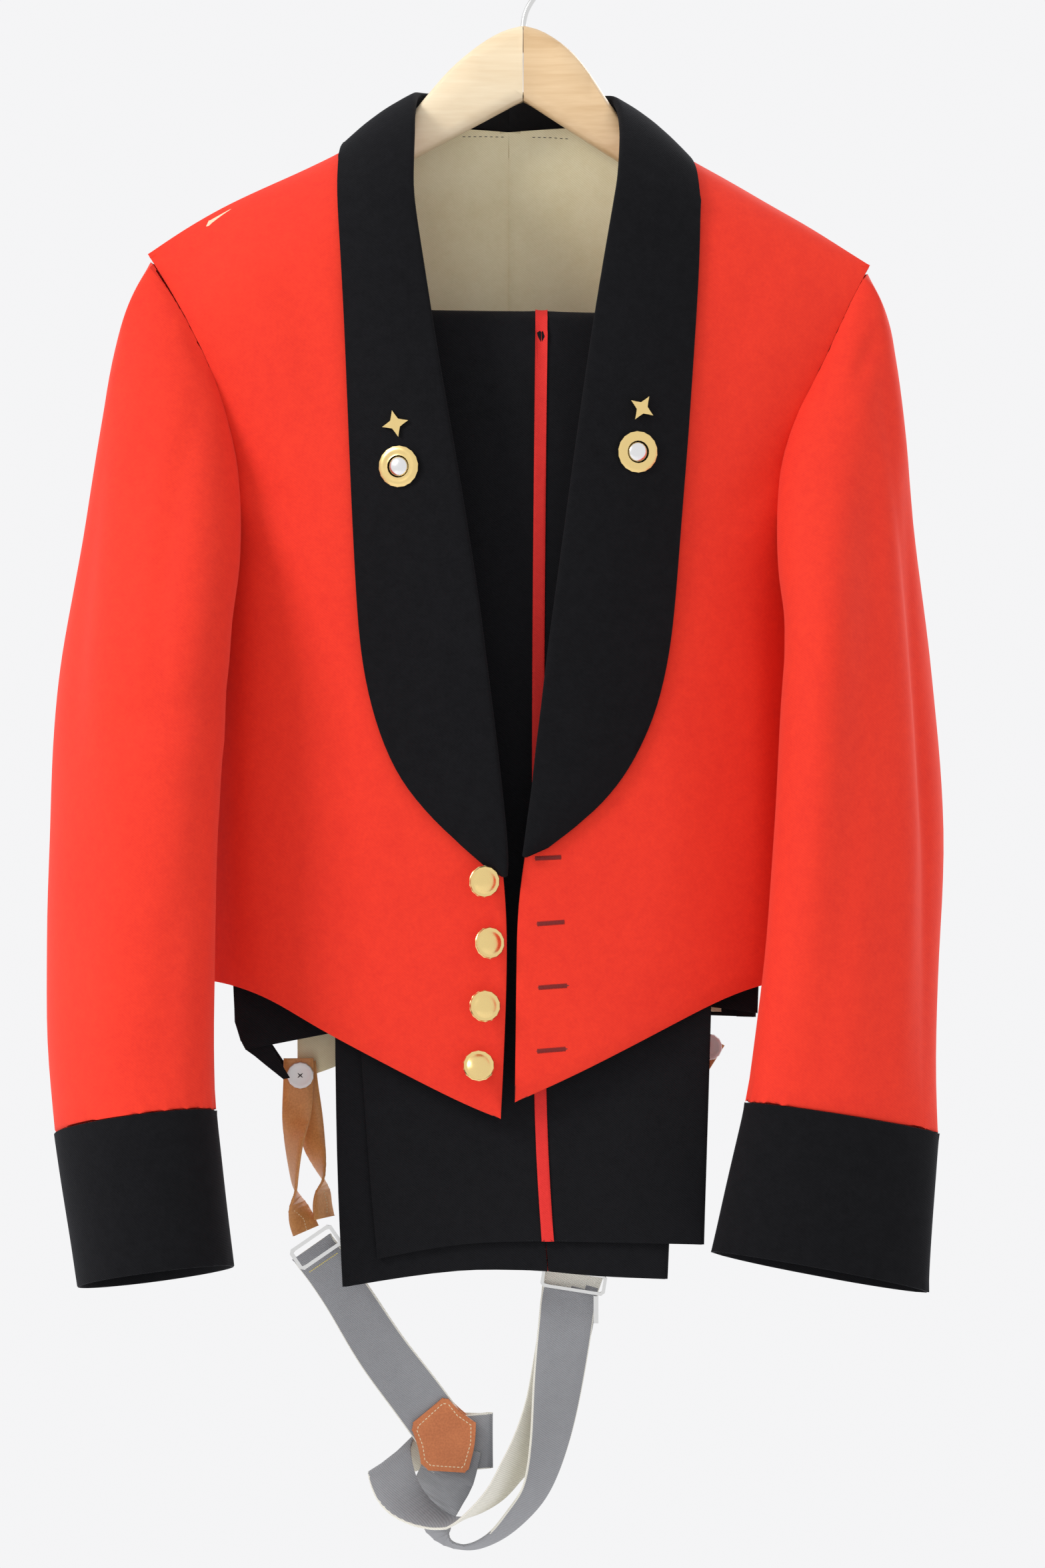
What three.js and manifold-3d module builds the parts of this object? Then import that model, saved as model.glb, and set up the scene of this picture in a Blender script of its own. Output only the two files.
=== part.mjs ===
// A mess dress uniform on a wooden hanger: scarlet jacket with a dark shawl collar and dark cuffs,
// dark trousers with a red stripe folded over the hanger's bar, and braces hanging from the waist.
// Millimetres. X is to the viewer's right, Y goes away from the viewer, Z is up.
// The origin is the top of the inside of the hanger's hook, where the rail holds it.
// "left" and "right" in names are the viewer's, with the front of the jacket facing the viewer.
import * as THREE from "three";
import { mergeVertices } from "three/addons/utils/BufferGeometryUtils.js";
import Module from "manifold-3d";

const wasm = await Module();
wasm.setup();

// Driving dimensions
const SEAM = 0.35; // gap left between sewn pieces
const CLOTH = 2.0; // wall of the jacket cloth with its interlining
const COLLAR_WALL = 2.2;
const LINING_WALL = 1.0;
const TROUSER_WALL = 1.2;
const STRIPE_WALL = 0.6;
const WEBBING_WIDTH = 34;
const WEBBING_WALL = 1.6;
const LEATHER_WALL = 1.8;
const BUTTON_RADIUS = 9.7;
const BRACE_BUTTON_RADIUS = 8.2;
const CENTRE = -9; // the jacket hangs a little to the left of the hook
const HALF_GIRTH = 196; // half of the jacket's flat width, side seam to centre
const SIDE_DEPTH = 8; // Y of the side seams
const SHOULDER_DROP = 80; // height over which the cloth rounds over the shoulder
const WOOD = 14; // thickness of the hanger's arms
const BAR_RADIUS = 6;
const BAR_DEPTH = -24; // Y of the trouser bar
const BAR_LEVEL = -254.4;
const BAR_FALL = 0.016; // the hanger tilts a little, lower on the right
const HOOK_RADIUS = 20; // inside of the hook
const WIRE = 3.8;

const COLOURS = {
  scarlet: 0xd8261a,
  navy: 0x17181d,
  lining: 0xcfc492,
  gilt: 0xc9a24a,
  silver: 0xc9c9c6,
  wood: 0xe6c48c,
  steel: 0xb9bcc0,
  webbing: 0x8d9094,
  leather: 0xa5602a,
  white: 0xeeeae0,
};
const METALS = ["gilt", "silver", "steel"];

const uniform = new THREE.Group();
const vec = (x, y, z) => new THREE.Vector3(x, y, z);
const lerp = THREE.MathUtils.lerp;
const rad = THREE.MathUtils.degToRad;

function addPiece(name, geometry, colour) {
  const metal = METALS.includes(colour);
  const material = new THREE.MeshStandardMaterial({
    color: COLOURS[colour],
    roughness: metal ? 0.3 : 0.85,
    metalness: metal ? 0.9 : 0,
  });
  const mesh = new THREE.Mesh(geometry, material);
  mesh.name = name;
  uniform.add(mesh);
  return mesh;
}

// A smooth curve through one column of a table, read at any value of its key column.
// The slope at a row is the mean of its two sides, and the ends run straight.
function curve(rows, key, column) {
  const k = rows.map((row) => row[key]);
  const v = rows.map((row) => row[column]);
  const last = rows.length - 1;
  const rise = (i) => (v[i + 1] - v[i]) / (k[i + 1] - k[i]);
  const slope = (i) => {
    if (i === 0) return rise(0);
    if (i === last) return rise(last - 1);
    return (rise(i - 1) + rise(i)) / 2;
  };
  const up = k[last] > k[0];
  return (at) => {
    const inside = up ? Math.min(Math.max(at, k[0]), k[last]) : Math.max(Math.min(at, k[0]), k[last]);
    let i = 0;
    while (i < last - 1 && (up ? inside > k[i + 1] : inside < k[i + 1])) i += 1;
    const span = k[i + 1] - k[i];
    const t = (inside - k[i]) / span;
    const t2 = t * t;
    const t3 = t2 * t;
    return (
      v[i] * (2 * t3 - 3 * t2 + 1) +
      v[i + 1] * (3 * t2 - 2 * t3) +
      slope(i) * span * (t3 - 2 * t2 + t) +
      slope(i + 1) * span * (t3 - t2)
    );
  };
}

// Even steps from 0 to 1, and a list of steps with a given spacing
const steps = (count) => Array.from({ length: count + 1 }, (_, i) => i / count);

// A path through the rows of a table whose columns are places, read from 0 to 1 by row number
function path(rows, columns = ["x", "y", "z"]) {
  const numbered = rows.map((row, i) => ({ ...row, row: i }));
  const parts = columns.map((column) => curve(numbered, "row", column));
  return (t) => parts.map((part) => part(t * (rows.length - 1)));
}

// Geometry from a list of points and a list of triangles
function fromTriangles(points, triangles) {
  const geometry = new THREE.BufferGeometry();
  geometry.setAttribute(
    "position",
    new THREE.Float32BufferAttribute(points.flatMap((p) => [p.x, p.y, p.z]), 3),
  );
  geometry.setIndex(triangles.flat());
  geometry.computeVertexNormals();
  return geometry;
}

// Volume under a triangle list, used to turn a solid's faces outwards
function signedVolume(points, triangles) {
  return triangles.reduce((sum, [a, b, c]) => {
    return sum + points[a].dot(points[b].clone().cross(points[c])) / 6;
  }, 0);
}

// A closed wall between two grids of points: grid[row][column] outside and the same inside.
// With around set, the last column joins the first and the wall is a tube.
function wall(outside, inside, around = false) {
  const rows = outside.length;
  const columns = outside[0].length;
  const points = [...outside.flat(), ...inside.flat()];
  const at = (side, row, column) => side * rows * columns + row * columns + (column % columns);
  const triangles = [];
  const quad = (a, b, c, d) => triangles.push([a, b, c], [a, c, d]);
  const spans = around ? columns : columns - 1;
  for (let row = 0; row < rows - 1; row += 1) {
    for (let column = 0; column < spans; column += 1) {
      const next = column + 1;
      quad(at(0, row, column), at(0, row, next), at(0, row + 1, next), at(0, row + 1, column));
      quad(at(1, row, column), at(1, row + 1, column), at(1, row + 1, next), at(1, row, next));
    }
  }
  for (let column = 0; column < spans; column += 1) {
    const next = column + 1;
    const end = rows - 1;
    quad(at(0, 0, column), at(1, 0, column), at(1, 0, next), at(0, 0, next));
    quad(at(0, end, column), at(0, end, next), at(1, end, next), at(1, end, column));
  }
  if (!around) {
    for (let row = 0; row < rows - 1; row += 1) {
      const end = columns - 1;
      quad(at(0, row, 0), at(0, row + 1, 0), at(1, row + 1, 0), at(1, row, 0));
      quad(at(0, row, end), at(1, row, end), at(1, row + 1, end), at(0, row + 1, end));
    }
  }
  if (signedVolume(points, triangles) < 0) triangles.forEach((triangle) => triangle.reverse());
  return fromTriangles(points, triangles);
}

// The grid moved along its own normals. The normals point to the side where distance is positive.
// hold(row, column) may name an axis along which a point must not move, as on a seam.
function moved(grid, distance, { around = false, hold = () => null } = {}) {
  const rows = grid.length;
  const columns = grid[0].length;
  const column = (j) => (around ? (j + columns) % columns : Math.min(Math.max(j, 0), columns - 1));
  return grid.map((line, i) =>
    line.map((point, j) => {
      const along = grid[Math.min(i + 1, rows - 1)][j].clone().sub(grid[Math.max(i - 1, 0)][j]);
      const across = line[column(j + 1)].clone().sub(line[column(j - 1)]);
      const normal = across.cross(along).normalize();
      const axis = hold(i, j);
      if (axis) {
        normal[axis] = 0;
        normal.normalize();
      }
      return point.clone().addScaledVector(normal, distance);
    }),
  );
}

// A wall of one thickness on the inner side of a grid of outside points
function sheet(grid, thickness, options = {}) {
  return wall(grid, moved(grid, thickness, options), options.around);
}

// JACKET BODY

// Level of the cloth along each shoulder, from the neck out
const SHOULDER = {
  left: [
    { out: 0, level: -98 },
    { out: 71, level: -117 },
    { out: 85, level: -125 },
    { out: 108, level: -139 },
    { out: 140.5, level: -155 },
    { out: 177, level: -171.5 },
    { out: 205.5, level: -188 },
    { out: 231, level: -205.5 },
  ],
  right: [
    { out: 0, level: -98 },
    { out: 71, level: -123 },
    { out: 94, level: -141.5 },
    { out: 119, level: -155 },
    { out: 145, level: -171 },
    { out: 174, level: -188 },
    { out: 199.5, level: -205 },
    { out: 214, level: -214.5 },
  ],
};
// The body level by level: Y of its front and back at the middle, and half its width.
// Above the underarm the width is what it would be without the armholes.
const BODY = [
  { level: -90, front: -58, back: 34, half: 290 },
  { level: -240, front: -61, back: 38, half: 262 },
  { level: -320, front: -62, back: 38, half: 215 },
  { level: -400, front: -62, back: 38, half: HALF_GIRTH },
  { level: -560, front: -59, back: 33, half: HALF_GIRTH },
  { level: -660, front: -55, back: 28, half: HALF_GIRTH },
  { level: -760, front: -51, back: 26, half: HALF_GIRTH },
];
const SIDES = { left: -1, right: 1 };
const shoulderLine = {
  left: curve(SHOULDER.left, "out", "level"),
  right: curve(SHOULDER.right, "out", "level"),
};
const sideOf = (x) => (x < 0 ? "left" : "right");
const shoulderLevel = (x) => shoulderLine[sideOf(x)](Math.abs(x));
const armDepth = (x) => -24 * (Math.abs(x) / 215) ** 1.5; // the hanger's arms sweep forward
const frontDepth = curve(BODY, "level", "front");
const backDepth = curve(BODY, "level", "back");
const halfWidth = curve(BODY, "level", "half");

// Y of the body's cloth at a place in the front view, on its front or its back.
// Across, the body is a rounded box. Upwards, it rounds over to the shoulder line.
function bodyDepth(x, z, face) {
  const deep = face === "front" ? frontDepth(z) : backDepth(z);
  const out = Math.min(Math.abs(x - CENTRE) / halfWidth(z), 1);
  const flat = SIDE_DEPTH + (deep - SIDE_DEPTH) * (1 - out ** 2.6) ** 0.667;
  const drop = Math.min(Math.max((shoulderLevel(x) - z) / SHOULDER_DROP, 0), 1);
  const rounded = Math.sqrt(1 - (1 - drop) ** 2);
  return armDepth(x) + (flat - armDepth(x)) * rounded;
}

// Armhole seams in the front view. The front and back halves run from the shoulder to the underarm.
const ARMHOLE = {
  left: {
    front: [
      { x: -229, z: -205.5 },
      { x: -212, z: -233 },
      { x: -196.5, z: -262 },
      { x: -184.5, z: -289 },
      { x: -175, z: -325 },
      { x: -171.5, z: -357 },
      { x: -178, z: -382 },
      { x: -203, z: -398 },
    ],
    back: [
      { x: -229, z: -205.5 },
      { x: -211, z: -232 },
      { x: -198, z: -262 },
      { x: -189, z: -300 },
      { x: -186, z: -335 },
      { x: -186, z: -362 },
      { x: -190, z: -384 },
      { x: -203, z: -398 },
    ],
  },
  right: {
    front: [
      { x: 211.5, z: -212.5 },
      { x: 197, z: -240 },
      { x: 181.5, z: -275 },
      { x: 166.5, z: -303 },
      { x: 158, z: -330 },
      { x: 155, z: -360 },
      { x: 160, z: -384 },
      { x: 185, z: -399 },
    ],
    back: [
      { x: 211.5, z: -212.5 },
      { x: 195, z: -240 },
      { x: 182, z: -270 },
      { x: 172, z: -305 },
      { x: 168, z: -338 },
      { x: 168, z: -364 },
      { x: 172, z: -386 },
      { x: 185, z: -399 },
    ],
  },
};
// Roll line (the folded edge) and outer edge of the shawl collar below the neck, level by level
const LAPEL = {
  left: [
    { level: -160, roll: -65.8, rollY: -59, edge: -112.8 },
    { level: -176, roll: -65.5, rollY: -64, edge: -112.5 },
    { level: -210, roll: -60, rollY: -67, edge: -110 },
    { level: -246, roll: -54.5, rollY: -68, edge: -108 },
    { level: -283, roll: -48.5, rollY: -70, edge: -106.5 },
    { level: -322, roll: -41.5, rollY: -71, edge: -105 },
    { level: -370, roll: -33.5, rollY: -71, edge: -103 },
    { level: -418, roll: -26, rollY: -70, edge: -100.5 },
    { level: -450, roll: -22, rollY: -70, edge: -98 },
    { level: -482, roll: -18, rollY: -69, edge: -92 },
    { level: -514, roll: -14, rollY: -68, edge: -81 },
    { level: -538, roll: -11.5, rollY: -67, edge: -66 },
    { level: -562, roll: -9, rollY: -66, edge: -42 },
    { level: -579, roll: -8.5, rollY: -65, edge: -22 },
  ],
  right: [
    { level: -162, roll: 57, rollY: -59, edge: 106.5 },
    { level: -176, roll: 54.5, rollY: -64.5, edge: 107.5 },
    { level: -210, roll: 48.5, rollY: -67, edge: 106.5 },
    { level: -246, roll: 42.5, rollY: -68, edge: 104.5 },
    { level: -283, roll: 37, rollY: -70, edge: 102 },
    { level: -322, roll: 31.5, rollY: -71, edge: 99.5 },
    { level: -370, roll: 25, rollY: -71, edge: 95.5 },
    { level: -418, roll: 18.5, rollY: -70, edge: 92 },
    { level: -450, roll: 14, rollY: -70, edge: 88.5 },
    { level: -482, roll: 10.5, rollY: -69, edge: 81.5 },
    { level: -508, roll: 7, rollY: -68, edge: 70.5 },
    { level: -530, roll: 5, rollY: -67, edge: 57.5 },
    { level: -550, roll: 2, rollY: -66, edge: 38 },
    { level: -567, roll: 0, rollY: -65, edge: 15 },
  ],
};
// Lower edges in the front view, from the centre front to the side
const HEM = {
  left: [
    { x: -13.5, z: -730.5 },
    { x: -34, z: -722.5 },
    { x: -66, z: -706.5 },
    { x: -97, z: -690.5 },
    { x: -128, z: -674.5 },
    { x: -153, z: -659.5 },
    { x: -178, z: -651 },
    { x: -205, z: -648 },
  ],
  right: [
    { x: -5, z: -720.5 },
    { x: 26.5, z: -706.5 },
    { x: 58.5, z: -690.5 },
    { x: 89.5, z: -674.5 },
    { x: 120, z: -659 },
    { x: 145, z: -650.5 },
    { x: 165, z: -648.5 },
    { x: 187, z: -648 },
  ],
};
// Inner edge of each front, from the hem up: the buttoned edge, then hidden under the lapel
const FRONT_EDGE = {
  left: [
    { x: -13.5, z: -730.5 },
    { x: -11.5, z: -690 },
    { x: -10, z: -650 },
    { x: -9.5, z: -610 },
    { x: -13, z: -572 },
    { x: -23, z: -490 },
    { x: -38, z: -390 },
    { x: -58, z: -285 },
    { x: -70, z: -200 },
    { x: -74, z: -150 },
    { x: -74, z: -118.5 },
  ],
  right: [
    { x: -5, z: -720.5 },
    { x: -4.5, z: -680 },
    { x: -4, z: -640 },
    { x: -3.5, z: -602 },
    { x: 2, z: -565 },
    { x: 16, z: -480 },
    { x: 30, z: -385 },
    { x: 46, z: -283 },
    { x: 58, z: -200 },
    { x: 66, z: -150 },
    { x: 72, z: -124 },
  ],
};
const SIDE_SEAM = {
  left: [
    { x: -205, z: -648 },
    { x: -205, z: -398 },
  ],
  right: [
    { x: 187, z: -648 },
    { x: 187, z: -399 },
  ],
};
// Columns of a panel are closer together near the side seam, where the cloth turns
const ACROSS = [0, 0.14, 0.28, 0.42, 0.56, 0.69, 0.8, 0.89, 0.955, 1];

// A panel in the front view filled in between four edges, each a function of 0 to 1.
// bottom and top run from the inner edge to the outer one, inner and outer run upwards.
function fillPanel({ bottom, top, inner, outer }, across, up, depth) {
  return up.map((v) =>
    across.map((u) => {
      const place = [0, 1].map((axis) => {
        const sides = lerp(inner(v)[axis], outer(v)[axis], u);
        const ends = lerp(bottom(u)[axis], top(u)[axis], v);
        const low = lerp(bottom(0)[axis], bottom(1)[axis], u);
        const high = lerp(top(0)[axis], top(1)[axis], u);
        return sides + ends - lerp(low, high, v);
      });
      return vec(place[0], depth(place[0], place[1]), place[1]);
    }),
  );
}

const flat = (rows) => path(rows, ["x", "z"]);
// The side edge of a panel: up the side seam, then up the armhole
const SIDE_SHARE = 0.4;
function sideEdge(side, face) {
  const seam = flat(SIDE_SEAM[side]);
  const armhole = flat([...ARMHOLE[side][face]].reverse());
  return (v) => (v < SIDE_SHARE ? seam(v / SIDE_SHARE) : armhole((v - SIDE_SHARE) / (1 - SIDE_SHARE)));
}
// The shoulder edge of a panel, from a start at the neck out to the shoulder point
function shoulderEdge(start, end) {
  return (u) => {
    const x = lerp(start, end, u);
    return [x, shoulderLevel(x)];
  };
}
// Rows of a panel up the side seam, then up the armhole, closer where the shoulder rounds over
const UP = [0, 0.1, 0.2, 0.3, 0.4, 0.47, 0.54, 0.61, 0.68, 0.75, 0.82, 0.88, 0.93, 0.97, 0.99, 1];

// A panel's grid moved in depth by its half of the seam gap
function partedInDepth(grid, by) {
  return grid.map((line) => line.map((point) => point.clone().setY(point.y + by)));
}

for (const side of ["left", "right"]) {
  const sign = SIDES[side];
  const neck = FRONT_EDGE[side].at(-1).x;
  const point = ARMHOLE[side].front[0].x;
  const frontEdges = {
    bottom: flat(HEM[side]),
    top: shoulderEdge(neck, point),
    inner: flat(FRONT_EDGE[side]),
    outer: sideEdge(side, "front"),
  };
  const grid = fillPanel(frontEdges, ACROSS, UP, (x, z) => bodyDepth(x, z, "front"));
  const front = partedInDepth(grid, -SEAM / 2);
  const seamRows = (i, j) => {
    const onShoulder = i === UP.length - 1;
    const onSideSeam = j === ACROSS.length - 1 && UP[i] <= SIDE_SHARE;
    return onShoulder || onSideSeam ? "y" : null;
  };
  addPiece("front_" + side, sheet(front, CLOTH * -sign, { hold: seamRows }), "scarlet");

  const middle = CENTRE + (SEAM / 2) * sign;
  const backHem = [
    { x: middle, z: -672 },
    { x: lerp(middle, SIDE_SEAM[side][0].x, 0.5), z: -660 },
    { x: SIDE_SEAM[side][0].x, z: -648 },
  ];
  const backNeck = [
    { x: middle, z: -126 },
    { x: lerp(middle, neck, 0.55), z: -124.5 },
    { x: neck * 0.93, z: -120.5 },
  ];
  const neckShare = 0.3;
  const neckCurve = flat(backNeck);
  const shoulderCurve = shoulderEdge(neck, point);
  const backEdges = {
    bottom: flat(backHem),
    top: (u) => {
      if (u < neckShare) return neckCurve(u / neckShare);
      return shoulderCurve((u - neckShare) / (1 - neckShare));
    },
    inner: (v) => [middle, lerp(-672, -126, v)],
    outer: sideEdge(side, "back"),
  };
  const backGrid = fillPanel(backEdges, ACROSS, UP, (x, z) => bodyDepth(x, z, "back"));
  const back = partedInDepth(backGrid, SEAM / 2);
  const backSeams = (i, j) => (j === 0 ? "x" : seamRows(i, j));
  addPiece("back_" + side, sheet(back, CLOTH * sign, { hold: backSeams }), "scarlet");
}

// LINING of the back, seen through the neck

const LINING_GAP = 2; // the lining hangs loosely inside the cloth

for (const side of ["left", "right"]) {
  const sign = SIDES[side];
  const middle = CENTRE + (SEAM / 2) * sign;
  const neck = FRONT_EDGE[side].at(-1).x;
  const hem = SIDE_SEAM[side][0].x - 6 * sign;
  const shoulder = [
    { x: middle, z: -129.5 },
    { x: neck * 0.9, z: -130.5 },
    { x: neck + 40 * sign, z: shoulderLevel(neck + 40 * sign) - 24 },
    { x: hem - 20 * sign, z: -262 },
  ];
  const edges = {
    bottom: flat([{ x: middle, z: -662 }, { x: hem, z: -640 }]),
    top: flat(shoulder),
    inner: flat([{ x: middle, z: -662 }, { x: middle, z: -129.5 }]),
    outer: flat([
      { x: hem, z: -640 },
      { x: hem, z: -520 },
      { x: hem - 4 * sign, z: -420 },
      { x: hem - 24 * sign, z: -350 },
      { x: hem - 20 * sign, z: -262 },
    ]),
  };
  const levels = [0, 0.22, 0.44, 0.6, 0.72, 0.82, 0.91, 1];
  const onBack = fillPanel(edges, steps(8), levels, (x, z) => bodyDepth(x, z, "back") + SEAM / 2);
  const middleSeam = (i, j) => (j === 0 ? "x" : null);
  const outside = moved(onBack, (CLOTH + LINING_GAP) * sign, { hold: middleSeam });
  addPiece("lining_" + side, sheet(outside, LINING_WALL * sign, { hold: middleSeam }), "lining");
}

// SLEEVES

// A ring of a sleeve: level of its middle, X of its outer and inner sides, Y of its front and back.
// skew is how far the outer side stands back, lean how far the front leans in,
// tilt how much lower the outer side is, and pitch how much higher the front is.
const SLEEVE = {
  left: [
    { level: -433, out: -277.6, in: -176.5, front: -98, back: 18, skew: 20, lean: 14, tilt: 2, pitch: 2 },
    { level: -465, out: -282.5, in: -178.5, front: -101, back: 16, skew: 21, lean: 14, tilt: 2, pitch: 3 },
    { level: -500, out: -285, in: -181, front: -104, back: 12, skew: 21, lean: 14, tilt: 3, pitch: 4 },
    { level: -560, out: -286.5, in: -184, front: -106, back: 6, skew: 20, lean: 13, tilt: 5, pitch: 7 },
    { level: -620, out: -287.7, in: -185.2, front: -109, back: -3, skew: 19, lean: 12, tilt: 8, pitch: 11 },
    { level: -680, out: -286.3, in: -186.2, front: -114, back: -15, skew: 17, lean: 10, tilt: 11, pitch: 15 },
    { level: -730, out: -280, in: -185, front: -118, back: -24, skew: 14, lean: 8, tilt: 13.5, pitch: 18 },
  ],
  right: [
    { level: -433, out: 245, in: 158.5, front: -98, back: 20, skew: 22, lean: 16, tilt: 2, pitch: 2 },
    { level: -465, out: 248, in: 157, front: -99, back: 19, skew: 23, lean: 16, tilt: 2, pitch: 3 },
    { level: -500, out: 251.5, in: 155, front: -100, back: 16, skew: 24, lean: 16, tilt: 3, pitch: 4 },
    { level: -552, out: 255.8, in: 152.5, front: -101, back: 9, skew: 24, lean: 15, tilt: 6, pitch: 6 },
    { level: -610, out: 252, in: 149, front: -102, back: -4, skew: 22, lean: 13, tilt: 10, pitch: 8 },
    { level: -672, out: 247.5, in: 143, front: -102, back: -18, skew: 18, lean: 10, tilt: 15, pitch: 10 },
    { level: -728, out: 248.2, in: 135, front: -102, back: -30, skew: 12, lean: 7, tilt: 18.7, pitch: 12 },
  ],
};
const CUFF_HEM = {
  left: { level: -823, out: -264.6, in: -174.3, front: -122, back: -28, skew: 8, lean: 4, tilt: 13, pitch: 17 },
  right: { level: -821, out: 240.5, in: 114.3, front: -99, back: -38, skew: 6, lean: 4, tilt: 24.4, pitch: 13 },
};
// The crown of the sleeve: share of the way from the armhole to the first ring,
// and how far it stands out there from the straight line between the two
const CROWN = [
  { share: 0.012, stand: 1 },
  { share: 0.05, stand: 4.6 },
  { share: 0.11, stand: 8.2 },
  { share: 0.2, stand: 10.2 },
  { share: 0.34, stand: 9.6 },
  { share: 0.52, stand: 7 },
  { share: 0.76, stand: 3 },
];
const BODY_GAP = 3.2; // least distance of the sleeves from the jacket's body
const UNDERARM_TURN = 35; // how far the underarm seam swings to the back along the sleeve, degrees
// Degrees round a sleeve: 0 outside, 90 front, 180 underarm, 270 back
const TOP_SLEEVE = [
  -120, -104, -88, -72, -56, -41, -27, -14, -3, 7, 15,
  21, 27, 36, 48, 62, 76, 90, 103, 116, 128, 140,
];
const UNDER_SLEEVE = [140, 154, 168, 182, 197, 212, 226, 240];
// A long soft fold down the outside of the right sleeve, as degrees round it and levels
const FOLD = { side: "right", at: 21, spread: 7, depth: 6, top: -330, middle: -500, bottom: -700 };

function foldDepth(side, angle, level) {
  if (side !== FOLD.side || level > FOLD.top || level < FOLD.bottom) return 0;
  const half = level > FOLD.middle ? FOLD.top - FOLD.middle : FOLD.middle - FOLD.bottom;
  const fade = 1 - Math.abs(level - FOLD.middle) / half;
  return FOLD.depth * Math.min(1, 1.6 * fade) * Math.exp(-(((angle - FOLD.at) / FOLD.spread) ** 2));
}

function ringPoint(side, ring, angle, grow = 0) {
  const sign = SIDES[side];
  const turn = rad(angle + UNDERARM_TURN * Math.sin(rad(angle) / 2) ** 2);
  const half = Math.abs(ring.out - ring.in) / 2;
  const across = Math.sqrt(half ** 2 - ring.lean ** 2) + grow - foldDepth(side, angle, ring.level);
  const deep = (ring.front - ring.back) / 2 - grow;
  return vec(
    (ring.out + ring.in) / 2 + sign * (across * Math.cos(turn) - ring.lean * Math.sin(turn)),
    (ring.front + ring.back) / 2 + ring.skew * Math.cos(turn) * 0.6 + deep * Math.sin(turn),
    ring.level - (ring.tilt / 2) * Math.cos(turn) + (ring.pitch / 2) * Math.sin(turn),
  );
}

// A sleeve point kept outside the jacket's body, against which the sleeve lies
function besideBody(side, point, gap) {
  if (point.z < SIDE_SEAM[side][0].z - 6) return point;
  const sign = SIDES[side];
  const face = point.y < SIDE_DEPTH ? frontDepth(point.z) : backDepth(point.z);
  const across = (sign * (point.x - CENTRE)) / halfWidth(point.z);
  const deep = (point.y - SIDE_DEPTH) / (face - SIDE_DEPTH);
  const inside = (scale) => (scale * across) ** 2.6 + (scale * deep) ** 1.5 < 1;
  const NEAR = 0.95; // a point this close to the body's outline, inside or outside it, is moved too
  if (across <= 0 || !inside(NEAR)) return point;
  let scale = NEAR;
  while (inside(scale)) scale += 0.004;
  const spread = vec(point.x - CENTRE, point.y - SIDE_DEPTH, 0);
  const reach = spread.length();
  spread.multiplyScalar(Math.max(scale + gap / reach, 1));
  return vec(CENTRE + spread.x, SIDE_DEPTH + spread.y, point.z);
}

// The armhole seam in space at an angle round the sleeve
function armholePoint(side, angle) {
  const around = ((angle % 360) + 360) % 360;
  const face = around <= 180 ? "front" : "back";
  const [x, z] = flat(ARMHOLE[side][face])(around <= 180 ? around / 180 : (360 - around) / 180);
  return vec(x, bodyDepth(x, z, face), z);
}

function sleeveGrid(side, angles) {
  const sign = SIDES[side];
  const [first] = SLEEVE[side];
  const crown = CROWN.map(({ share, stand }) =>
    angles.map((angle) => {
      const seam = armholePoint(side, angle);
      const point = seam.lerp(ringPoint(side, first, angle), share);
      const round = Math.max(0, Math.cos(rad(angle) / 2)) ** 1.3;
      const push = stand * round;
      point.add(vec(sign * Math.cos(rad(angle)) * push, -Math.sin(rad(angle)) * push, 0));
      const low = Math.exp(-(((angle - 132) / 22) ** 2)) * Math.max(0, 1 - 2 * share);
      point.x += sign * low * (CLOTH + 0.8);
      return angle > 139 && angle < 245 ? besideBody(side, point, 5.6 - 2.4 * share) : point;
    }),
  );
  const rings = SLEEVE[side].map((ring) =>
    angles.map((angle) => besideBody(side, ringPoint(side, ring, angle), BODY_GAP)),
  );
  return [...crown, ...rings];
}

const SEAM_TURN = 0.6; // degrees round the sleeve on each side of a seam
const pulled = (angles) => angles.map((angle, i) => {
  if (i === 0) return angle + SEAM_TURN;
  return i === angles.length - 1 ? angle - SEAM_TURN : angle;
});
for (const side of ["left", "right"]) {
  const sign = SIDES[side];
  const top = sleeveGrid(side, pulled(TOP_SLEEVE));
  const under = sleeveGrid(side, pulled(UNDER_SLEEVE));
  addPiece("topsleeve_" + side, sheet(top, CLOTH * sign), "scarlet");
  addPiece("undersleeve_" + side, sheet(under, CLOTH * sign), "scarlet");

  // The cuff starts just under the sleeve's end and stands a little outside it
  const last = SLEEVE[side].at(-1);
  const hem = CUFF_HEM[side];
  const between = (share) => {
    return Object.fromEntries(Object.keys(last).map((key) => [key, lerp(last[key], hem[key], share)]));
  };
  const round = steps(26).slice(0, -1).map((t) => t * 360);
  const cuff = [0.012, 0.2, 0.45, 0.72, 1].map((share) =>
    round.map((angle) => ringPoint(side, between(share), angle, 0.8)),
  );
  addPiece("cuff_" + side, sheet(cuff, COLLAR_WALL * sign, { around: true }), "navy");
}

// SHAWL COLLAR

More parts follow.
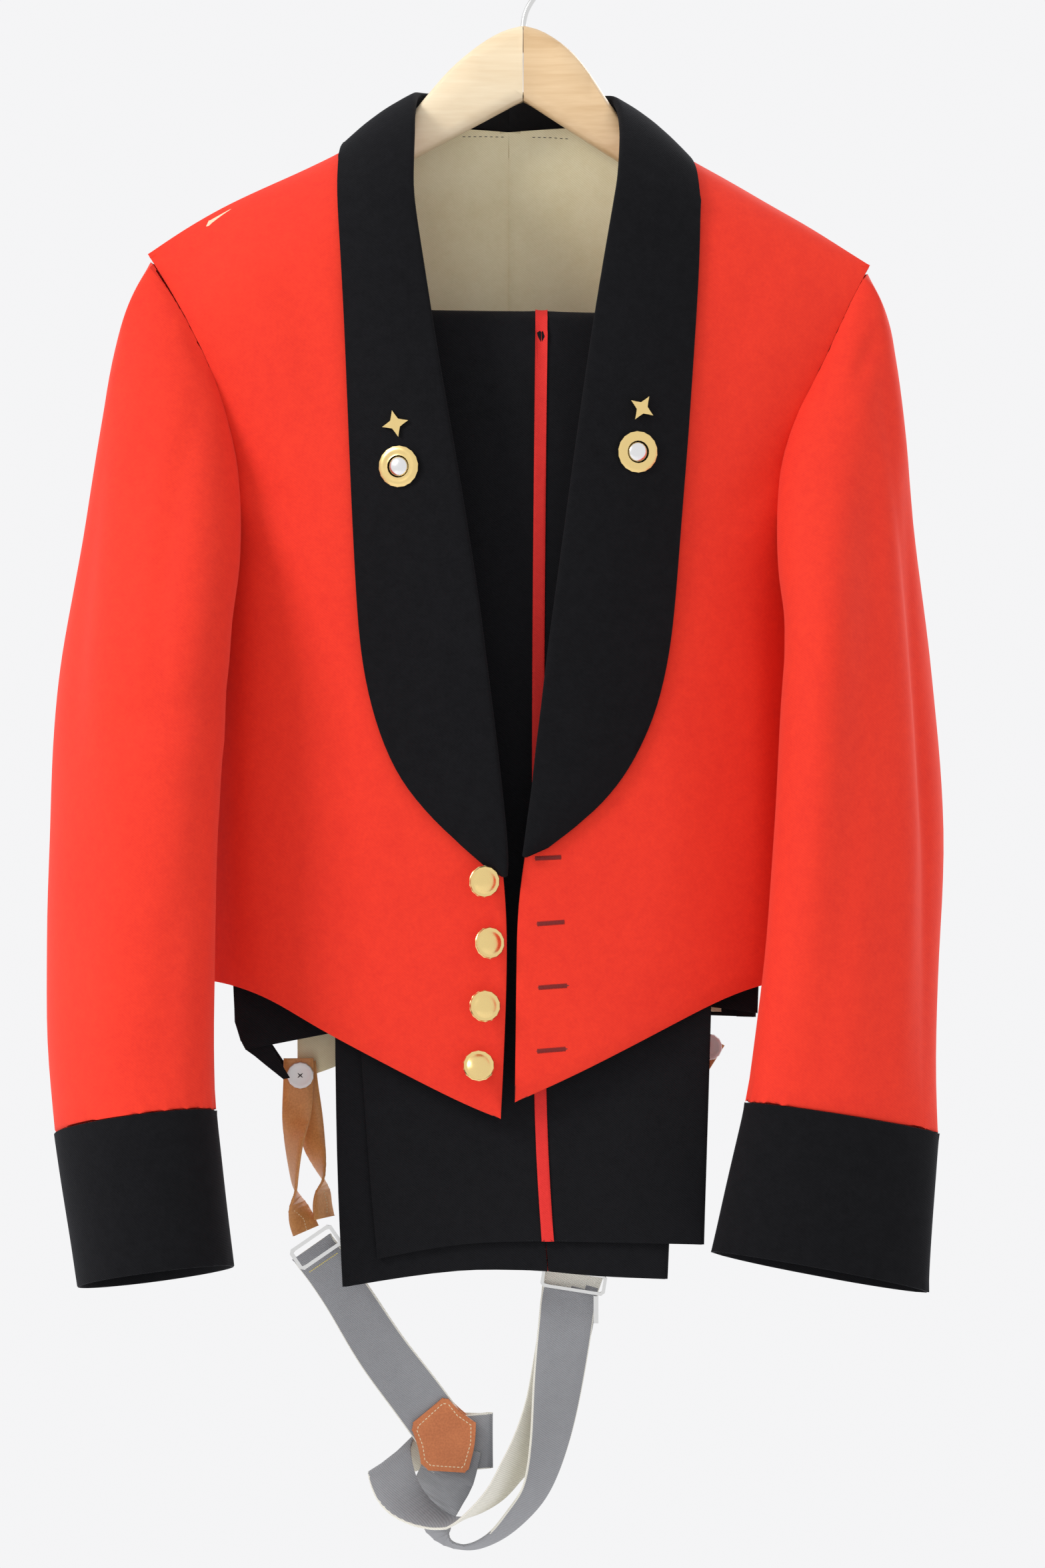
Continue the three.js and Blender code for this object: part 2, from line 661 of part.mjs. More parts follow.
// Above the lapels, from the centre back: seam is its inner lower edge, roll its fold, edge its outer edge
const COLLAR_NECK = {
  left: [
    { seam: [CENTRE, 27.5, -123], roll: [CENTRE, 34, -97], edge: [CENTRE, 41, -147] },
    { seam: [-45, 23, -120.5], roll: [-42, 30, -98.5], edge: [-60, 36, -149] },
    { seam: [-64, 13, -115.5], roll: [-58, 19, -101], edge: [-90, 26, -146.5] },
    { seam: [-70, 4, -113], roll: [-63.5, 10, -102], edge: [-104, 10, -137] },
    { seam: [-72, -6, -113], roll: [-65, 0, -104], edge: [-110.5, -9, -135.4] },
    { seam: [-71, -20, -120], roll: [-66, -20, -115], edge: [-112, -20, -139.5] },
    { seam: [-72, -39, -139], roll: [-65.5, -42, -133], edge: [-112.5, -31, -146.4] },
  ],
  right: [
    { seam: [CENTRE, 27.5, -123], roll: [CENTRE, 34, -97], edge: [CENTRE, 41, -147] },
    { seam: [28, 23, -121.5], roll: [26, 30, -99], edge: [44, 36, -150] },
    { seam: [50, 13, -118.5], roll: [44, 19, -102.5], edge: [77, 27, -149] },
    { seam: [57, 4, -117], roll: [51, 10, -104], edge: [91, 10, -139] },
    { seam: [61, -6, -117.5], roll: [55, 0, -106.5], edge: [97, -8, -139.5] },
    { seam: [63, -21, -125], roll: [58.5, -20, -117.5], edge: [103, -20, -145.8] },
    { seam: [65, -39, -142], roll: [58.5, -42, -136], edge: [105.5, -31, -153.5] },
  ],
};
const ROLL_RADIUS = 2.9;
const TURN_UNDER = 4; // width of the collar folded under at the lapels
const COLLAR_LIFT = COLLAR_WALL + 0.7; // the lapels lie on the fronts with a gap
const COLLAR_PUFF = 3; // how far the collar's face swells between its edges
const COLLAR_TIP = {
  left: { level: -584, roll: -9.5, edge: -13.5 },
  right: { level: -572, roll: -0.5, edge: 3.5 },
};

const collars = {};
for (const side of ["left", "right"]) {
  const sign = SIDES[side];
  const neckRows = COLLAR_NECK[side].map(({ seam, roll, edge }, i) => {
    const half = i === 0 ? (SEAM / 2) * sign : 0;
    return [seam, roll, edge].map(([x, y, z]) => vec(x + half, y, z));
  });
  const tip = { ...COLLAR_TIP[side], rollY: -64.5 };
  const lapelRows = [...LAPEL[side], tip].map(({ level, roll, rollY, edge }) => {
    const outer = vec(edge, bodyDepth(edge, level, "front") - SEAM / 2 - COLLAR_LIFT, level);
    return [null, vec(roll, rollY, level), outer];
  });
  const rows = [...neckRows, ...lapelRows];
  const grid = rows.map(([seam, roll, edge], i) => {
    const before = rows[Math.max(i - 1, 0)];
    const after = rows[Math.min(i + 1, rows.length - 1)];
    const middle = (row) => row[1].clone().add(row[2]).multiplyScalar(0.5);
    const forward = i === 0 ? vec(sign, 0, 0) : middle(after).sub(middle(before));
    const face = edge.clone().sub(roll);
    const width = face.length();
    face.normalize();
    const out = face.clone().cross(forward).multiplyScalar(-sign).normalize();
    const radius = Math.min(ROLL_RADIUS, width * 0.28);
    const puff = COLLAR_PUFF * Math.min(1, width / 40);
    const centre = roll.clone().addScaledVector(face, radius);
    const around = (degrees) =>
      centre
        .clone()
        .addScaledVector(face, -radius * Math.cos(rad(degrees)))
        .addScaledVector(out, radius * Math.sin(rad(degrees)));
    const under = around(-90);
    const end = seam ?? under.clone().addScaledVector(face, Math.min(TURN_UNDER, width * 0.35));
    const onFace = (share) => {
      const point = around(90).lerp(edge, share).addScaledVector(out, puff * 4 * share * (1 - share));
      const cloth = bodyDepth(point.x, point.z, "front") - SEAM / 2 - COLLAR_LIFT - 0.9;
      if (point.y < armDepth(point.x) && point.z < shoulderLevel(point.x)) point.y = Math.min(point.y, cloth);
      return point;
    };
    return [
      end,
      end.clone().lerp(under, 0.5),
      under,
      around(-40),
      around(10),
      around(50),
      around(90),
      onFace(0.25),
      onFace(0.5),
      onFace(0.78),
      onFace(1),
    ];
  });
  collars[side] = grid;
  const backSeam = (i) => (i === 0 ? "x" : null);
  addPiece("collar_" + side, sheet(grid, COLLAR_WALL * sign, { hold: backSeam }), "navy");
}

// HANGER

const HANGER_TOP = -62.9; // level of the wood where the hook goes in

// Upper and lower edges of each arm from the middle out. Further out, its top follows the shoulders.
const HEAD_TOP = {
  left: [
    { out: 0, level: HANGER_TOP },
    { out: 9, level: -64 },
    { out: 18.4, level: -68.4 },
    { out: 34.8, level: -80 },
    { out: 49, level: -93.2 },
    { out: 59.3, level: -106 },
    { out: 70, level: -118.5 },
  ],
  right: [
    { out: 0, level: HANGER_TOP },
    { out: 9, level: -64 },
    { out: 18, level: -69 },
    { out: 33, level: -81 },
    { out: 44, level: -96 },
    { out: 54, level: -112.2 },
    { out: 66, level: -127.4 },
  ],
};
const ARM_UNDERSIDE = {
  left: [
    { out: 0, level: -108.7 },
    { out: 64, level: -143.5 },
    { out: 110, level: -168 },
    { out: 150, level: -190 },
    { out: 188, level: -214 },
    { out: 212, level: -229 },
  ],
  right: [
    { out: 0, level: -108.7 },
    { out: 60, level: -147.8 },
    { out: 105, level: -176 },
    { out: 145, level: -199 },
    { out: 188, level: -226 },
    { out: 212, level: -242 },
  ],
};
const ARM_END = 196;
const TOE = { from: 180, to: 191 }; // the part of each arm's end that reaches down to the bar
const ARM_GAP = CLOTH + 1.6; // from the outside of the shoulder cloth down to the wood
const CHAMFER = 3.4;
const ARM_ROUND = 11; // how much further the upper corners fall at the ends, under the rounding shoulders
const barLevel = (x) => BAR_LEVEL - BAR_FALL * x;

function arm(side) {
  const sign = SIDES[side];
  const head = HEAD_TOP[side];
  const headTop = curve(head, "out", "level");
  const underside = curve(ARM_UNDERSIDE[side], "out", "level");
  const underCloth = (out) => {
    const slope = shoulderLine[side](out) - shoulderLine[side](out + 1);
    return shoulderLine[side](out) - ARM_GAP * Math.hypot(1, slope) - 1.6 * (out / ARM_END) ** 2;
  };
  const top = (out) => (out <= head.at(-1).out ? headTop(out) : underCloth(out));
  const inner = [SEAM / 2, 9, 18, 27, 36, 45, 54, 63, 72, 84, 98, 114, 132, 149, 165, TOE.from - 0.6];
  const outer = [TOE.from, TOE.to, TOE.to + 0.6, ARM_END];
  const sections = [...inner, ...outer].map((out) => {
    const toe = out >= TOE.from && out <= TOE.to;
    const x = out * sign;
    const low = toe ? barLevel(x) - BAR_RADIUS - 4 : underside(out);
    const high = out === ARM_END ? lerp(top(out), low, 0.2) : top(out);
    const y = armDepth(x);
    const half = WOOD / 2;
    const corner = Math.min(CHAMFER, (high - low) / 3);
    const fall = corner + ARM_ROUND * (out / ARM_END) ** 2;
    const outline = [
      [half - corner, high],
      [half, high - fall],
      [half, low + corner],
      [half - corner, low],
      [corner - half, low],
      [-half, low + corner],
      [-half, high - fall],
      [corner - half, high],
    ];
    return outline.map(([dy, z]) => vec(x, y + dy, z));
  });
  return loft(sections);
}

// A solid through a row of closed outlines with the same number of points, capped at both ends
function loft(sections) {
  const size = sections[0].length;
  const points = sections.flat();
  const triangles = [];
  for (let row = 0; row < sections.length - 1; row += 1) {
    for (let i = 0; i < size; i += 1) {
      const next = (i + 1) % size;
      const [a, b] = [row * size + i, row * size + next];
      triangles.push([a, b, b + size], [a, b + size, a + size]);
    }
  }
  const last = (sections.length - 1) * size;
  for (let i = 1; i < size - 1; i += 1) {
    triangles.push([0, i + 1, i], [last, last + i, last + i + 1]);
  }
  if (signedVolume(points, triangles) < 0) triangles.forEach((triangle) => triangle.reverse());
  return fromTriangles(points, triangles);
}

function asSolid(geometry) {
  const bare = geometry.index ? geometry.toNonIndexed() : geometry.clone();
  bare.deleteAttribute("normal");
  bare.deleteAttribute("uv");
  const merged = mergeVertices(bare, 1e-4);
  return new wasm.Manifold(
    new wasm.Mesh({
      numProp: 3,
      vertProperties: merged.attributes.position.array,
      triVerts: new Uint32Array(merged.index.array),
    }),
  );
}

function asGeometry(solid) {
  const { vertProperties, triVerts, numProp } = solid.getMesh();
  const geometry = new THREE.BufferGeometry();
  const places = new Float32Array((vertProperties.length / numProp) * 3);
  for (let i = 0; i < places.length / 3; i += 1) {
    places.set(vertProperties.subarray(i * numProp, i * numProp + 3), i * 3);
  }
  geometry.setAttribute("position", new THREE.BufferAttribute(places, 3));
  geometry.setIndex(new THREE.BufferAttribute(triVerts, 1));
  geometry.computeVertexNormals();
  return geometry;
}

const SHAFT_DEPTH = 16; // how far the hook's shaft goes down into the wood
const bore = new THREE.CylinderGeometry(WIRE / 2 + 0.4, WIRE / 2 + 0.4, 60, 10);
bore.rotateX(Math.PI / 2).translate(0, 0, HANGER_TOP - SHAFT_DEPTH - 1 + 30);
for (const side of ["left", "right"]) {
  addPiece("hanger_arm_" + side, asGeometry(asSolid(arm(side)).subtract(asSolid(bore))), "wood");
}

const hookRing = HOOK_RADIUS + WIRE / 2;
const onHook = (degrees) => {
  const turn = rad(degrees);
  return vec(hookRing * Math.cos(turn), 0, -HOOK_RADIUS + hookRing * Math.sin(turn));
};
const hookPath = new THREE.CatmullRomCurve3([
  vec(0, 0, HANGER_TOP - SHAFT_DEPTH),
  vec(0, 0, -66),
  vec(1.2, 0, -55),
  vec(6, 0, -46),
  ...[-48, -22, 5, 35, 65, 95, 125, 155, 185, 208].map(onHook),
]);
const wireSection = new THREE.Shape().absarc(0, 0, WIRE / 2, 0, Math.PI * 2);
const hook = new THREE.ExtrudeGeometry(wireSection, { curveSegments: 4, steps: 34, extrudePath: hookPath });
addPiece("hanger_hook", hook, "steel");

const barEnd = TOE.from - SEAM;
const bar = new THREE.CylinderGeometry(BAR_RADIUS, BAR_RADIUS, 2 * barEnd, 12);
bar.rotateZ(Math.PI / 2).rotateY(Math.atan(BAR_FALL)).translate(0, BAR_DEPTH, BAR_LEVEL);
addPiece("hanger_bar", bar, "wood");

// TROUSERS, folded on their creases with the legs together and hung over the bar

// Distance from the bar's middle to the near and far side of each layer of the folded legs
const LEGS = {
  far: { under: 7.5, over: 10.8, flare: 0 },
  near: { under: 11.2, over: 14.5, flare: 15 },
};
// X of the two long edges of the folded trousers down the front and down the back of the bar
const LEG_FRONT = {
  near: [
    { level: -817, left: -88.5, right: 109.5 },
    { level: -763, left: -93.8, right: 111 },
    { level: -700, left: -98.6, right: 113.5 },
    { level: -600, left: -104, right: 116 },
    { level: -400, left: -110, right: 118.5 },
    { level: -240, left: -113, right: 120 },
  ],
  far: [
    { level: -834, left: -109.7, right: 87.5 },
    { level: -806, left: -112, right: 89 },
    { level: -692, left: -114.6, right: 94 },
    { level: -600, left: -115, right: 100 },
    { level: -400, left: -114, right: 111 },
    { level: -240, left: -112, right: 119 },
  ],
};
const LEG_BACK = [
  { level: -713, left: -150, right: 139 },
  { level: -690, left: -172, right: 142 },
  { level: -667, left: -177, right: 143.5 },
  { level: -560, left: -172, right: 146 },
  { level: -430, left: -150, right: 140 },
  { level: -330, left: -124, right: 126 },
  { level: -240, left: -113, right: 120 },
];
// Lower edge of each leg in front, and the waist edge with its two points behind
const LEG_HEM = {
  near: [
    { x: -89, level: -816.7 },
    { x: -54, level: -807.5 },
    { x: 11, level: -805.8 },
    { x: 110, level: -807.8 },
  ],
  far: [
    { x: -110, level: -833.9 },
    { x: -91, level: -832.3 },
    { x: -47, level: -822.2 },
    { x: 8, level: -823.8 },
    { x: 47, level: -827.8 },
    { x: 88, level: -829.1 },
  ],
};
const WAIST = {
  near: [
    { x: -177, level: -677 },
    { x: -160, level: -700 },
    { x: -140, level: -713 },
    { x: -126, level: -711.4 },
    { x: -115, level: -705 },
    { x: -60, level: -684 },
    { x: 40, level: -670 },
    { x: 144, level: -672 },
  ],
  far: [
    { x: -177, level: -672 },
    { x: -172, level: -689.5 },
    { x: -149, level: -709.4 },
    { x: -115.5, level: -684 },
    { x: -60, level: -670 },
    { x: 60, level: -660 },
    { x: 124, level: -663 },
    { x: 144, level: -669 },
  ],
};
// Middle of the stripe down the outside seam
const OUTSEAM = [
  { level: -806, x: 15 },
  { level: -789, x: 11.7 },
  { level: -724, x: 10.1 },
  { level: -457, x: 8.9 },
  { level: -255, x: 11.1 },
];
const STRIPE = 7.4;
const CROTCH = { from: -390, to: -450 }; // behind the bar the inner layers end here
const CREASE_TURN = 1.6;
const outseam = curve(OUTSEAM, "level", "x");

// Stations along a leg: down the front, over the bar in degrees, and down the back
const STATIONS = [
  ...[0, 0.12, 0.35, 0.65].map((share) => ({ part: "front", share })),
  ...[0, 36, 72, 108, 144, 180].map((turn) => ({ part: "bar", turn })),
  ...[0.2, 0.45, 0.68, 0.84, 0.92, 1].map((share) => ({ part: "back", share })),
];

// Behind the bar the waist opens: how far a leg stands off there at a level
const flareAt = (leg, z) => LEGS[leg].flare * (Math.max(0, BAR_LEVEL - z) / 440) ** 2;

// A point of a leg at a station. off is its distance from the bar's middle,
// and place(left, right, seam, level)
// gives its X between the edges.
function legPoint(leg, station, off, place) {
  const front = LEG_FRONT[leg];
  const xAt = (rows, level) => {
    const seam = station.part === "front" ? outseam(level) : outseam(-255);
    return place(curve(rows, "level", "left")(level), curve(rows, "level", "right")(level), seam, level);
  };
  const atBar = xAt(front, -240);
  const bar = barLevel(atBar);
  if (station.part === "bar") {
    const turn = rad(station.turn);
    return vec(atBar, BAR_DEPTH - off * Math.cos(turn), bar + off * Math.sin(turn));
  }
  const rows = station.part === "front" ? front : LEG_BACK;
  const ends = curve(station.part === "front" ? LEG_HEM[leg] : WAIST[leg], "x", "level");
  let level = station.part === "front" ? -800 : -680;
  for (let round = 0; round < 4; round += 1) level = ends(xAt(rows, level));
  const z = station.part === "front" ? lerp(level, bar, station.share) : lerp(bar, level, station.share);
  const x = xAt(rows, z);
  if (station.part === "front") return vec(x, BAR_DEPTH - off, z);
  return vec(x, BAR_DEPTH + off + flareAt(leg, z), z);
}

// One panel of a leg: from the outside seam round the crease to the inside seam, half of the leg
function legPanel(leg, half) {
  const { under, over } = LEGS[leg];
  // The near leg's outside seam faces away from the bar, the far leg's faces the bar
  const outer = leg === "near" ? over : under;
  const inner = leg === "near" ? under : over;
  const into = leg === "near" ? -1 : 1;
  const towards = half === "front" ? 1 : -1;
  const crease = (left, right) => (half === "front" ? right : left);
  const gap = (SEAM / 2) * towards;
  const places = [
    { off: outer, wall: into, at: (l, r, s) => s + gap },
    { off: outer, wall: into, at: (l, r, s) => lerp(s, crease(l, r), 0.5) },
    { off: outer, wall: into, at: (l, r) => crease(l, r) - CREASE_TURN * towards },
    { off: (outer + inner) / 2, wall: 0, at: (l, r) => crease(l, r) },
    { off: inner, wall: -into, at: (l, r) => crease(l, r) - CREASE_TURN * towards },
    {
      off: inner,
      wall: -into,
      at: (l, r, s, level, back) => lerp(innerEnd(l, r, s, level, back), crease(l, r), 0.4),
    },
    { off: inner, wall: -into, at: (l, r, s, level, back) => innerEnd(l, r, s, level, back) },
  ];
  function innerEnd(l, r, s, level, back) {
    const fade = back ? THREE.MathUtils.smoothstep(-level, -CROTCH.from, -CROTCH.to) : 0;
    return lerp(s + gap, crease(l, r) - 12 * towards, fade);
  }
  const grid = (thickness) =>
    STATIONS.map((station) =>
      places.map(({ off, wall: side, at }) => {
        const edge = side === 0 ? thickness * towards : 0;
        return legPoint(leg, station, off + side * thickness, (l, r, s, level) => {
          return at(l, r, s, level, station.part === "back") - edge;
        });
      }),
    );
  return wall(grid(0), grid(TROUSER_WALL));
}

for (const leg of ["near", "far"]) {
  addPiece("leg_" + leg + "_front", legPanel(leg, "front"), "navy");
  addPiece("leg_" + leg + "_back", legPanel(leg, "back"), "navy");
  const away = leg === "near" ? 1 : -1;
  const base = leg === "near" ? LEGS.near.over : LEGS.far.under;
  const stripe = (lift) =>
    STATIONS.map((station) =>
      [-0.5, 0.5].map((share) =>
        legPoint(leg, station, base + away * lift, (l, r, seam) => seam + share * STRIPE),
      ),
    );
  addPiece("stripe_" + leg, wall(stripe(0.3 + STRIPE_WALL), stripe(0.3)), "scarlet");
}

// The facing inside the waist of the near leg's half, seen past the far half
const WAIST_FACING = 46;
const facingLevel = curve(WAIST.near, "x", "level");
function facingPoint(x, share, lift) {
  const low = facingLevel(x) + 2.5;
  const z = low + WAIST_FACING * share;
  return vec(x, BAR_DEPTH + LEGS.near.over + flareAt("near", z) - TROUSER_WALL - lift, z);
}
const facingRow = (share, lift) => steps(12).map((t) => facingPoint(lerp(-139, 122, t), share, lift));
const facing = (lift) => steps(3).map((share) => facingRow(share, lift));
addPiece("waist_facing", wall(facing(0.3 + LINING_WALL), facing(0.3)), "lining");

// BRACES

// A strap through stations, each with its two edges and the direction that the strap runs in there
function band(stations, thickness) {
  const sections = stations.map(({ near, far, along }) => {
    const up = along.clone().cross(far.clone().sub(near)).normalize();
    const lifted = (edge, share) => edge.clone().addScaledVector(up, share * thickness);
    return [lifted(near, -0.5), lifted(far, -0.5), lifted(far, 0.5), lifted(near, 0.5)];
  });
  return loft(sections);
}

// The direction of a path at a share of its length
function heading(placeAt, t) {
  const before = vec(...placeAt(Math.max(0, t - 0.01)));
  return vec(...placeAt(Math.min(1, t + 0.01))).sub(before).normalize();
}

// A strap along a path. widthAt gives the direction of its width at a step of the path.
// On the inside of a tight turn the edge still moves on a little at each step, as cloth bunches there.
const EDGE_ADVANCE = 0.35;
function strap(placeAt, widthAt, width, thickness, count) {
  const stations = steps(count).map((t) => {
    const along = heading(placeAt, t);
    const across = widthAt(along, t);
    across.addScaledVector(along, -across.dot(along)).setLength(width / 2);
    const middle = vec(...placeAt(t));
    return { near: middle.clone().sub(across), far: middle.add(across), along };
  });
  for (const edge of ["near", "far"]) {
    for (let i = 1; i < stations.length; i++) {
      const { along, [edge]: point } = stations[i];
      const advance = point.clone().sub(stations[i - 1][edge]).dot(along);
      point.addScaledVector(along, Math.max(0, EDGE_ADVANCE - advance));
    }
  }
  return band(stations, thickness);
}

// A strap along a row of places. turn is how far its face is turned from the viewer, in degrees,
// about the direction it runs in. Its width lies to the right of that direction.
function ribbon(rows, width, thickness, count) {
  const at = path(rows, ["x", "y", "z", "turn"]);
  const widthAt = (along, t) => {
    const turn = rad(at(t)[3]);
    const beside = vec(along.z, 0, -along.x).normalize();
    return beside.multiplyScalar(Math.cos(turn)).add(vec(0, Math.sin(turn), 0));
  };
  return strap((t) => at(t).slice(0, 3), widthAt, width, thickness, count);
}

const STRAP_BACK = [
  { x: -124.4, y: 1, z: -820.6, turn: 26 },
  { x: -115.8, y: 0, z: -832.6, turn: 26 },
  { x: -105.2, y: -1, z: -848, turn: 22 },
  { x: -87.1, y: -2.5, z: -876.7, turn: 12 },
  { x: -67.7, y: -2.9, z: -902.3, turn: 4 },
  { x: -54, y: -2.9, z: -921, turn: 0 },
  { x: -47, y: -2.9, z: -931, turn: 0 },
];
const STRAP_OUTER = [
  { x: -42.5, y: -0.9, z: -936, turn: 0 },
  { x: -46.5, y: -0.9, z: -953, turn: 1 },
  { x: -51.5, y: 3, z: -963, turn: 16 },
  { x: -54.5, y: 8, z: -972, turn: 38 },
  { x: -55.5, y: 12, z: -982, turn: 52 },
  { x: -51.8, y: 14, z: -992, turn: 65 },
  { x: -43.1, y: 13, z: -998.5, turn: 75 },
  { x: -30.8, y: 9.5, z: -999.2, turn: 75 },
  { x: -16.4, y: 5, z: -991.9, turn: 70 },
  { x: -3.1, y: 1, z: -978.1, turn: 62 },
  { x: 9.2, y: -2, z: -959.7, turn: 57 },
  { x: 16.8, y: -3, z: -930, turn: 43 },
  { x: 21.8, y: -3, z: -893, turn: 24 },
  { x: 26, y: -4, z: -860.3, turn: 12 },
  { x: 30.2, y: -6, z: -834, turn: 4 },
  { x: 49, y: -9, z: -790, turn: 0 },
  { x: 86, y: -6, z: -733, turn: 0 },
];
// The inner strap by the places of its two edges. It leaves the fold behind the patch, rolls forwards
// at the left, turns over in front of the outer strap's loop and rises behind that strap.
const STRAP_INNER = [
  { upperX: -57.5, upperY: 8.9, upperZ: -915.2, lowerX: -57.5, lowerY: 8.9, lowerZ: -950.1 },
  { upperX: -61, upperY: 10, upperZ: -920, lowerX: -69, lowerY: 9.5, lowerZ: -953.5 },
  { upperX: -66, upperY: 10, upperZ: -928, lowerX: -84, lowerY: 8, lowerZ: -955.5 },
  { upperX: -69, upperY: 4, upperZ: -935.5, lowerX: -94, lowerY: 1, lowerZ: -952.5 },
  { upperX: -69, upperY: -5, upperZ: -939, lowerX: -95, lowerY: -8, lowerZ: -952 },
  { upperX: -67, upperY: -10, upperZ: -948, lowerX: -93, lowerY: -17, lowerZ: -958 },
  { upperX: -63.5, upperY: -11, upperZ: -957.5, lowerX: -88, lowerY: -24, lowerZ: -966.5 },
  { upperX: -57.5, upperY: -9, upperZ: -966.5, lowerX: -78.5, lowerY: -31, lowerZ: -974 },
  { upperX: -50, upperY: -6.5, upperZ: -974, lowerX: -63.5, lowerY: -37, lowerZ: -979 },
  { upperX: -39.5, upperY: -5, upperZ: -979, lowerX: -46.5, lowerY: -39, lowerZ: -979.5 },
  { upperX: -26, upperY: -3, upperZ: -976, lowerX: -33, lowerY: -36.5, lowerZ: -969.5 },
  { upperX: -11.5, upperY: 1, upperZ: -968, lowerX: -21.5, lowerY: -30, lowerZ: -957 },
  { upperX: 0, upperY: 8, upperZ: -956.5, lowerX: -13.5, lowerY: -20.5, lowerZ: -943 },
  { upperX: 13, upperY: 14, upperZ: -943, lowerX: -6, lowerY: -11, lowerZ: -929 },
  { upperX: 25, upperY: 19, upperZ: -919, lowerX: 1.5, lowerY: -3, lowerZ: -908.5 },
  { upperX: 35.5, upperY: 19, upperZ: -893, lowerX: 6, lowerY: 4, lowerZ: -885.5 },
  { upperX: 43, upperY: 15, upperZ: -865, lowerX: 10, lowerY: 8, lowerZ: -860 },
  { upperX: 48, upperY: 9, upperZ: -832, lowerX: 13.5, lowerY: 7, lowerZ: -826 },
  { upperX: 60, upperY: 1.5, upperZ: -796.5, lowerX: 27.5, lowerY: 1.5, lowerZ: -783 },
  { upperX: 84, upperY: -3, upperZ: -745, lowerX: 52, lowerY: -3, lowerZ: -731.5 },
];
// The part of the inner strap under the patch: out to the right, folded over, and back behind the patch
const STRAP_FOLD = [
  { x: -44, y: 1.2, z: -934.6 },
  { x: -26, y: 1.2, z: -933 },
  { x: -21.2, y: 2, z: -932.8 },
  { x: -19.4, y: 4.4, z: -932.8 },
  { x: -21.2, y: 6.8, z: -933 },
  { x: -27, y: 7.6, z: -933.6 },
  { x: -48, y: 7.8, z: -932.8 },
  { x: -57, y: 8.8, z: -932.6 },
];
addPiece("strap_back", ribbon(STRAP_BACK, WEBBING_WIDTH * 0.97, WEBBING_WALL, 16), "webbing");
addPiece("strap_outer", ribbon(STRAP_OUTER, WEBBING_WIDTH, WEBBING_WALL, 46), "webbing");

// The fold keeps its width upright until the strap turns down
const fold = strap(path(STRAP_FOLD), () => vec(0, 0, 1), WEBBING_WIDTH, WEBBING_WALL, 16);
addPiece("strap_fold", fold, "webbing");

const edgeOfStrap = (prefix) => path(STRAP_INNER, ["X", "Y", "Z"].map((axis) => prefix + axis));
const upperEdge = edgeOfStrap("upper");
const lowerEdge = edgeOfStrap("lower");
const betweenEdges = (t) => upperEdge(t).map((value, i) => (value + lowerEdge(t)[i]) / 2);
const innerStations = steps(57).map((t) => {
  return { near: vec(...lowerEdge(t)), far: vec(...upperEdge(t)), along: heading(betweenEdges, t) };
});
addPiece("strap_inner", band(innerStations, WEBBING_WALL), "webbing");

// Flat pieces cut to an outline and laid facing the viewer
const inFront = (rows) => rows.map(({ x, z }) => new THREE.Vector2(x, z));
function flatPiece(outline, thickness, holes = []) {
  const shape = new THREE.Shape(inFront(outline));
  holes.forEach((hole) => shape.holes.push(new THREE.Path(inFront(hole))));
  const geometry = new THREE.ExtrudeGeometry(shape, { depth: thickness, bevelEnabled: false });
  return geometry.rotateX(Math.PI / 2);
}

const PATCH = [
  { x: 2.1, z: 24 },
  { x: 9.4, z: 16 },
  { x: 19, z: 9.4 },
  { x: 18.8, z: -3.7 },
  { x: 14.6, z: -19.2 },
  { x: 12.4, z: -21.3 },
  { x: -10.3, z: -19.9 },
  { x: -14.8, z: -15.6 },
  { x: -16.2, z: -5.3 },
  { x: -20.5, z: 5 },
  { x: -19.8, z: 9.4 },
  { x: -1.5, z: 24.6 },
];
const PATCH_PLACE = { x: -48, z: -930, front: -4.1, back: 4.3 };
for (const face of ["front", "back"]) {
  const patch = flatPiece(PATCH, LEATHER_WALL).translate(PATCH_PLACE.x, PATCH_PLACE[face], PATCH_PLACE.z);
  addPiece("patch_" + face, patch, "leather");
}

const TAIL_WIDTH = 18.5;
const TAIL_FRONT = [
  { x: -138, y: -3.6, z: -697, turn: 0 },
  { x: -138, y: -3.6, z: -708, turn: 0 },
  { x: -139, y: -3, z: -728.3, turn: 10 },
  { x: -141, y: -2, z: -746.7, turn: 48 },
  { x: -141, y: -1, z: -766.8, turn: 72 },
  { x: -140.2, y: -0.5, z: -778.7, turn: 86 },
  { x: -138.6, y: -0.5, z: -788, turn: 120 },
  { x: -136.4, y: -0.5, z: -796, turn: 142 },
  { x: -133.6, y: -0.5, z: -803.4, turn: 150 },
];
const TAIL_BACK = [
  { x: -136, y: -1.2, z: -699.5, turn: 0 },
  { x: -134.6, y: 0.5, z: -714, turn: 0 },
  { x: -131.8, y: 4.5, z: -733, turn: 14 },
  { x: -129.2, y: 5.5, z: -749.6, turn: 32 },
  { x: -125.9, y: 5.5, z: -761.9, turn: 58 },
  { x: -123.6, y: 5.5, z: -772, turn: 86 },
  { x: -123.6, y: 5.5, z: -780.3, turn: 118 },
  { x: -123.8, y: 5.5, z: -788, turn: 128 },
  { x: -122.8, y: 5.5, z: -796, turn: 134 },
];
addPiece("tail_front", ribbon(TAIL_FRONT, TAIL_WIDTH, LEATHER_WALL, 22), "leather");
addPiece("tail_back", ribbon(TAIL_BACK, TAIL_WIDTH - 1.5, LEATHER_WALL, 22), "leather");
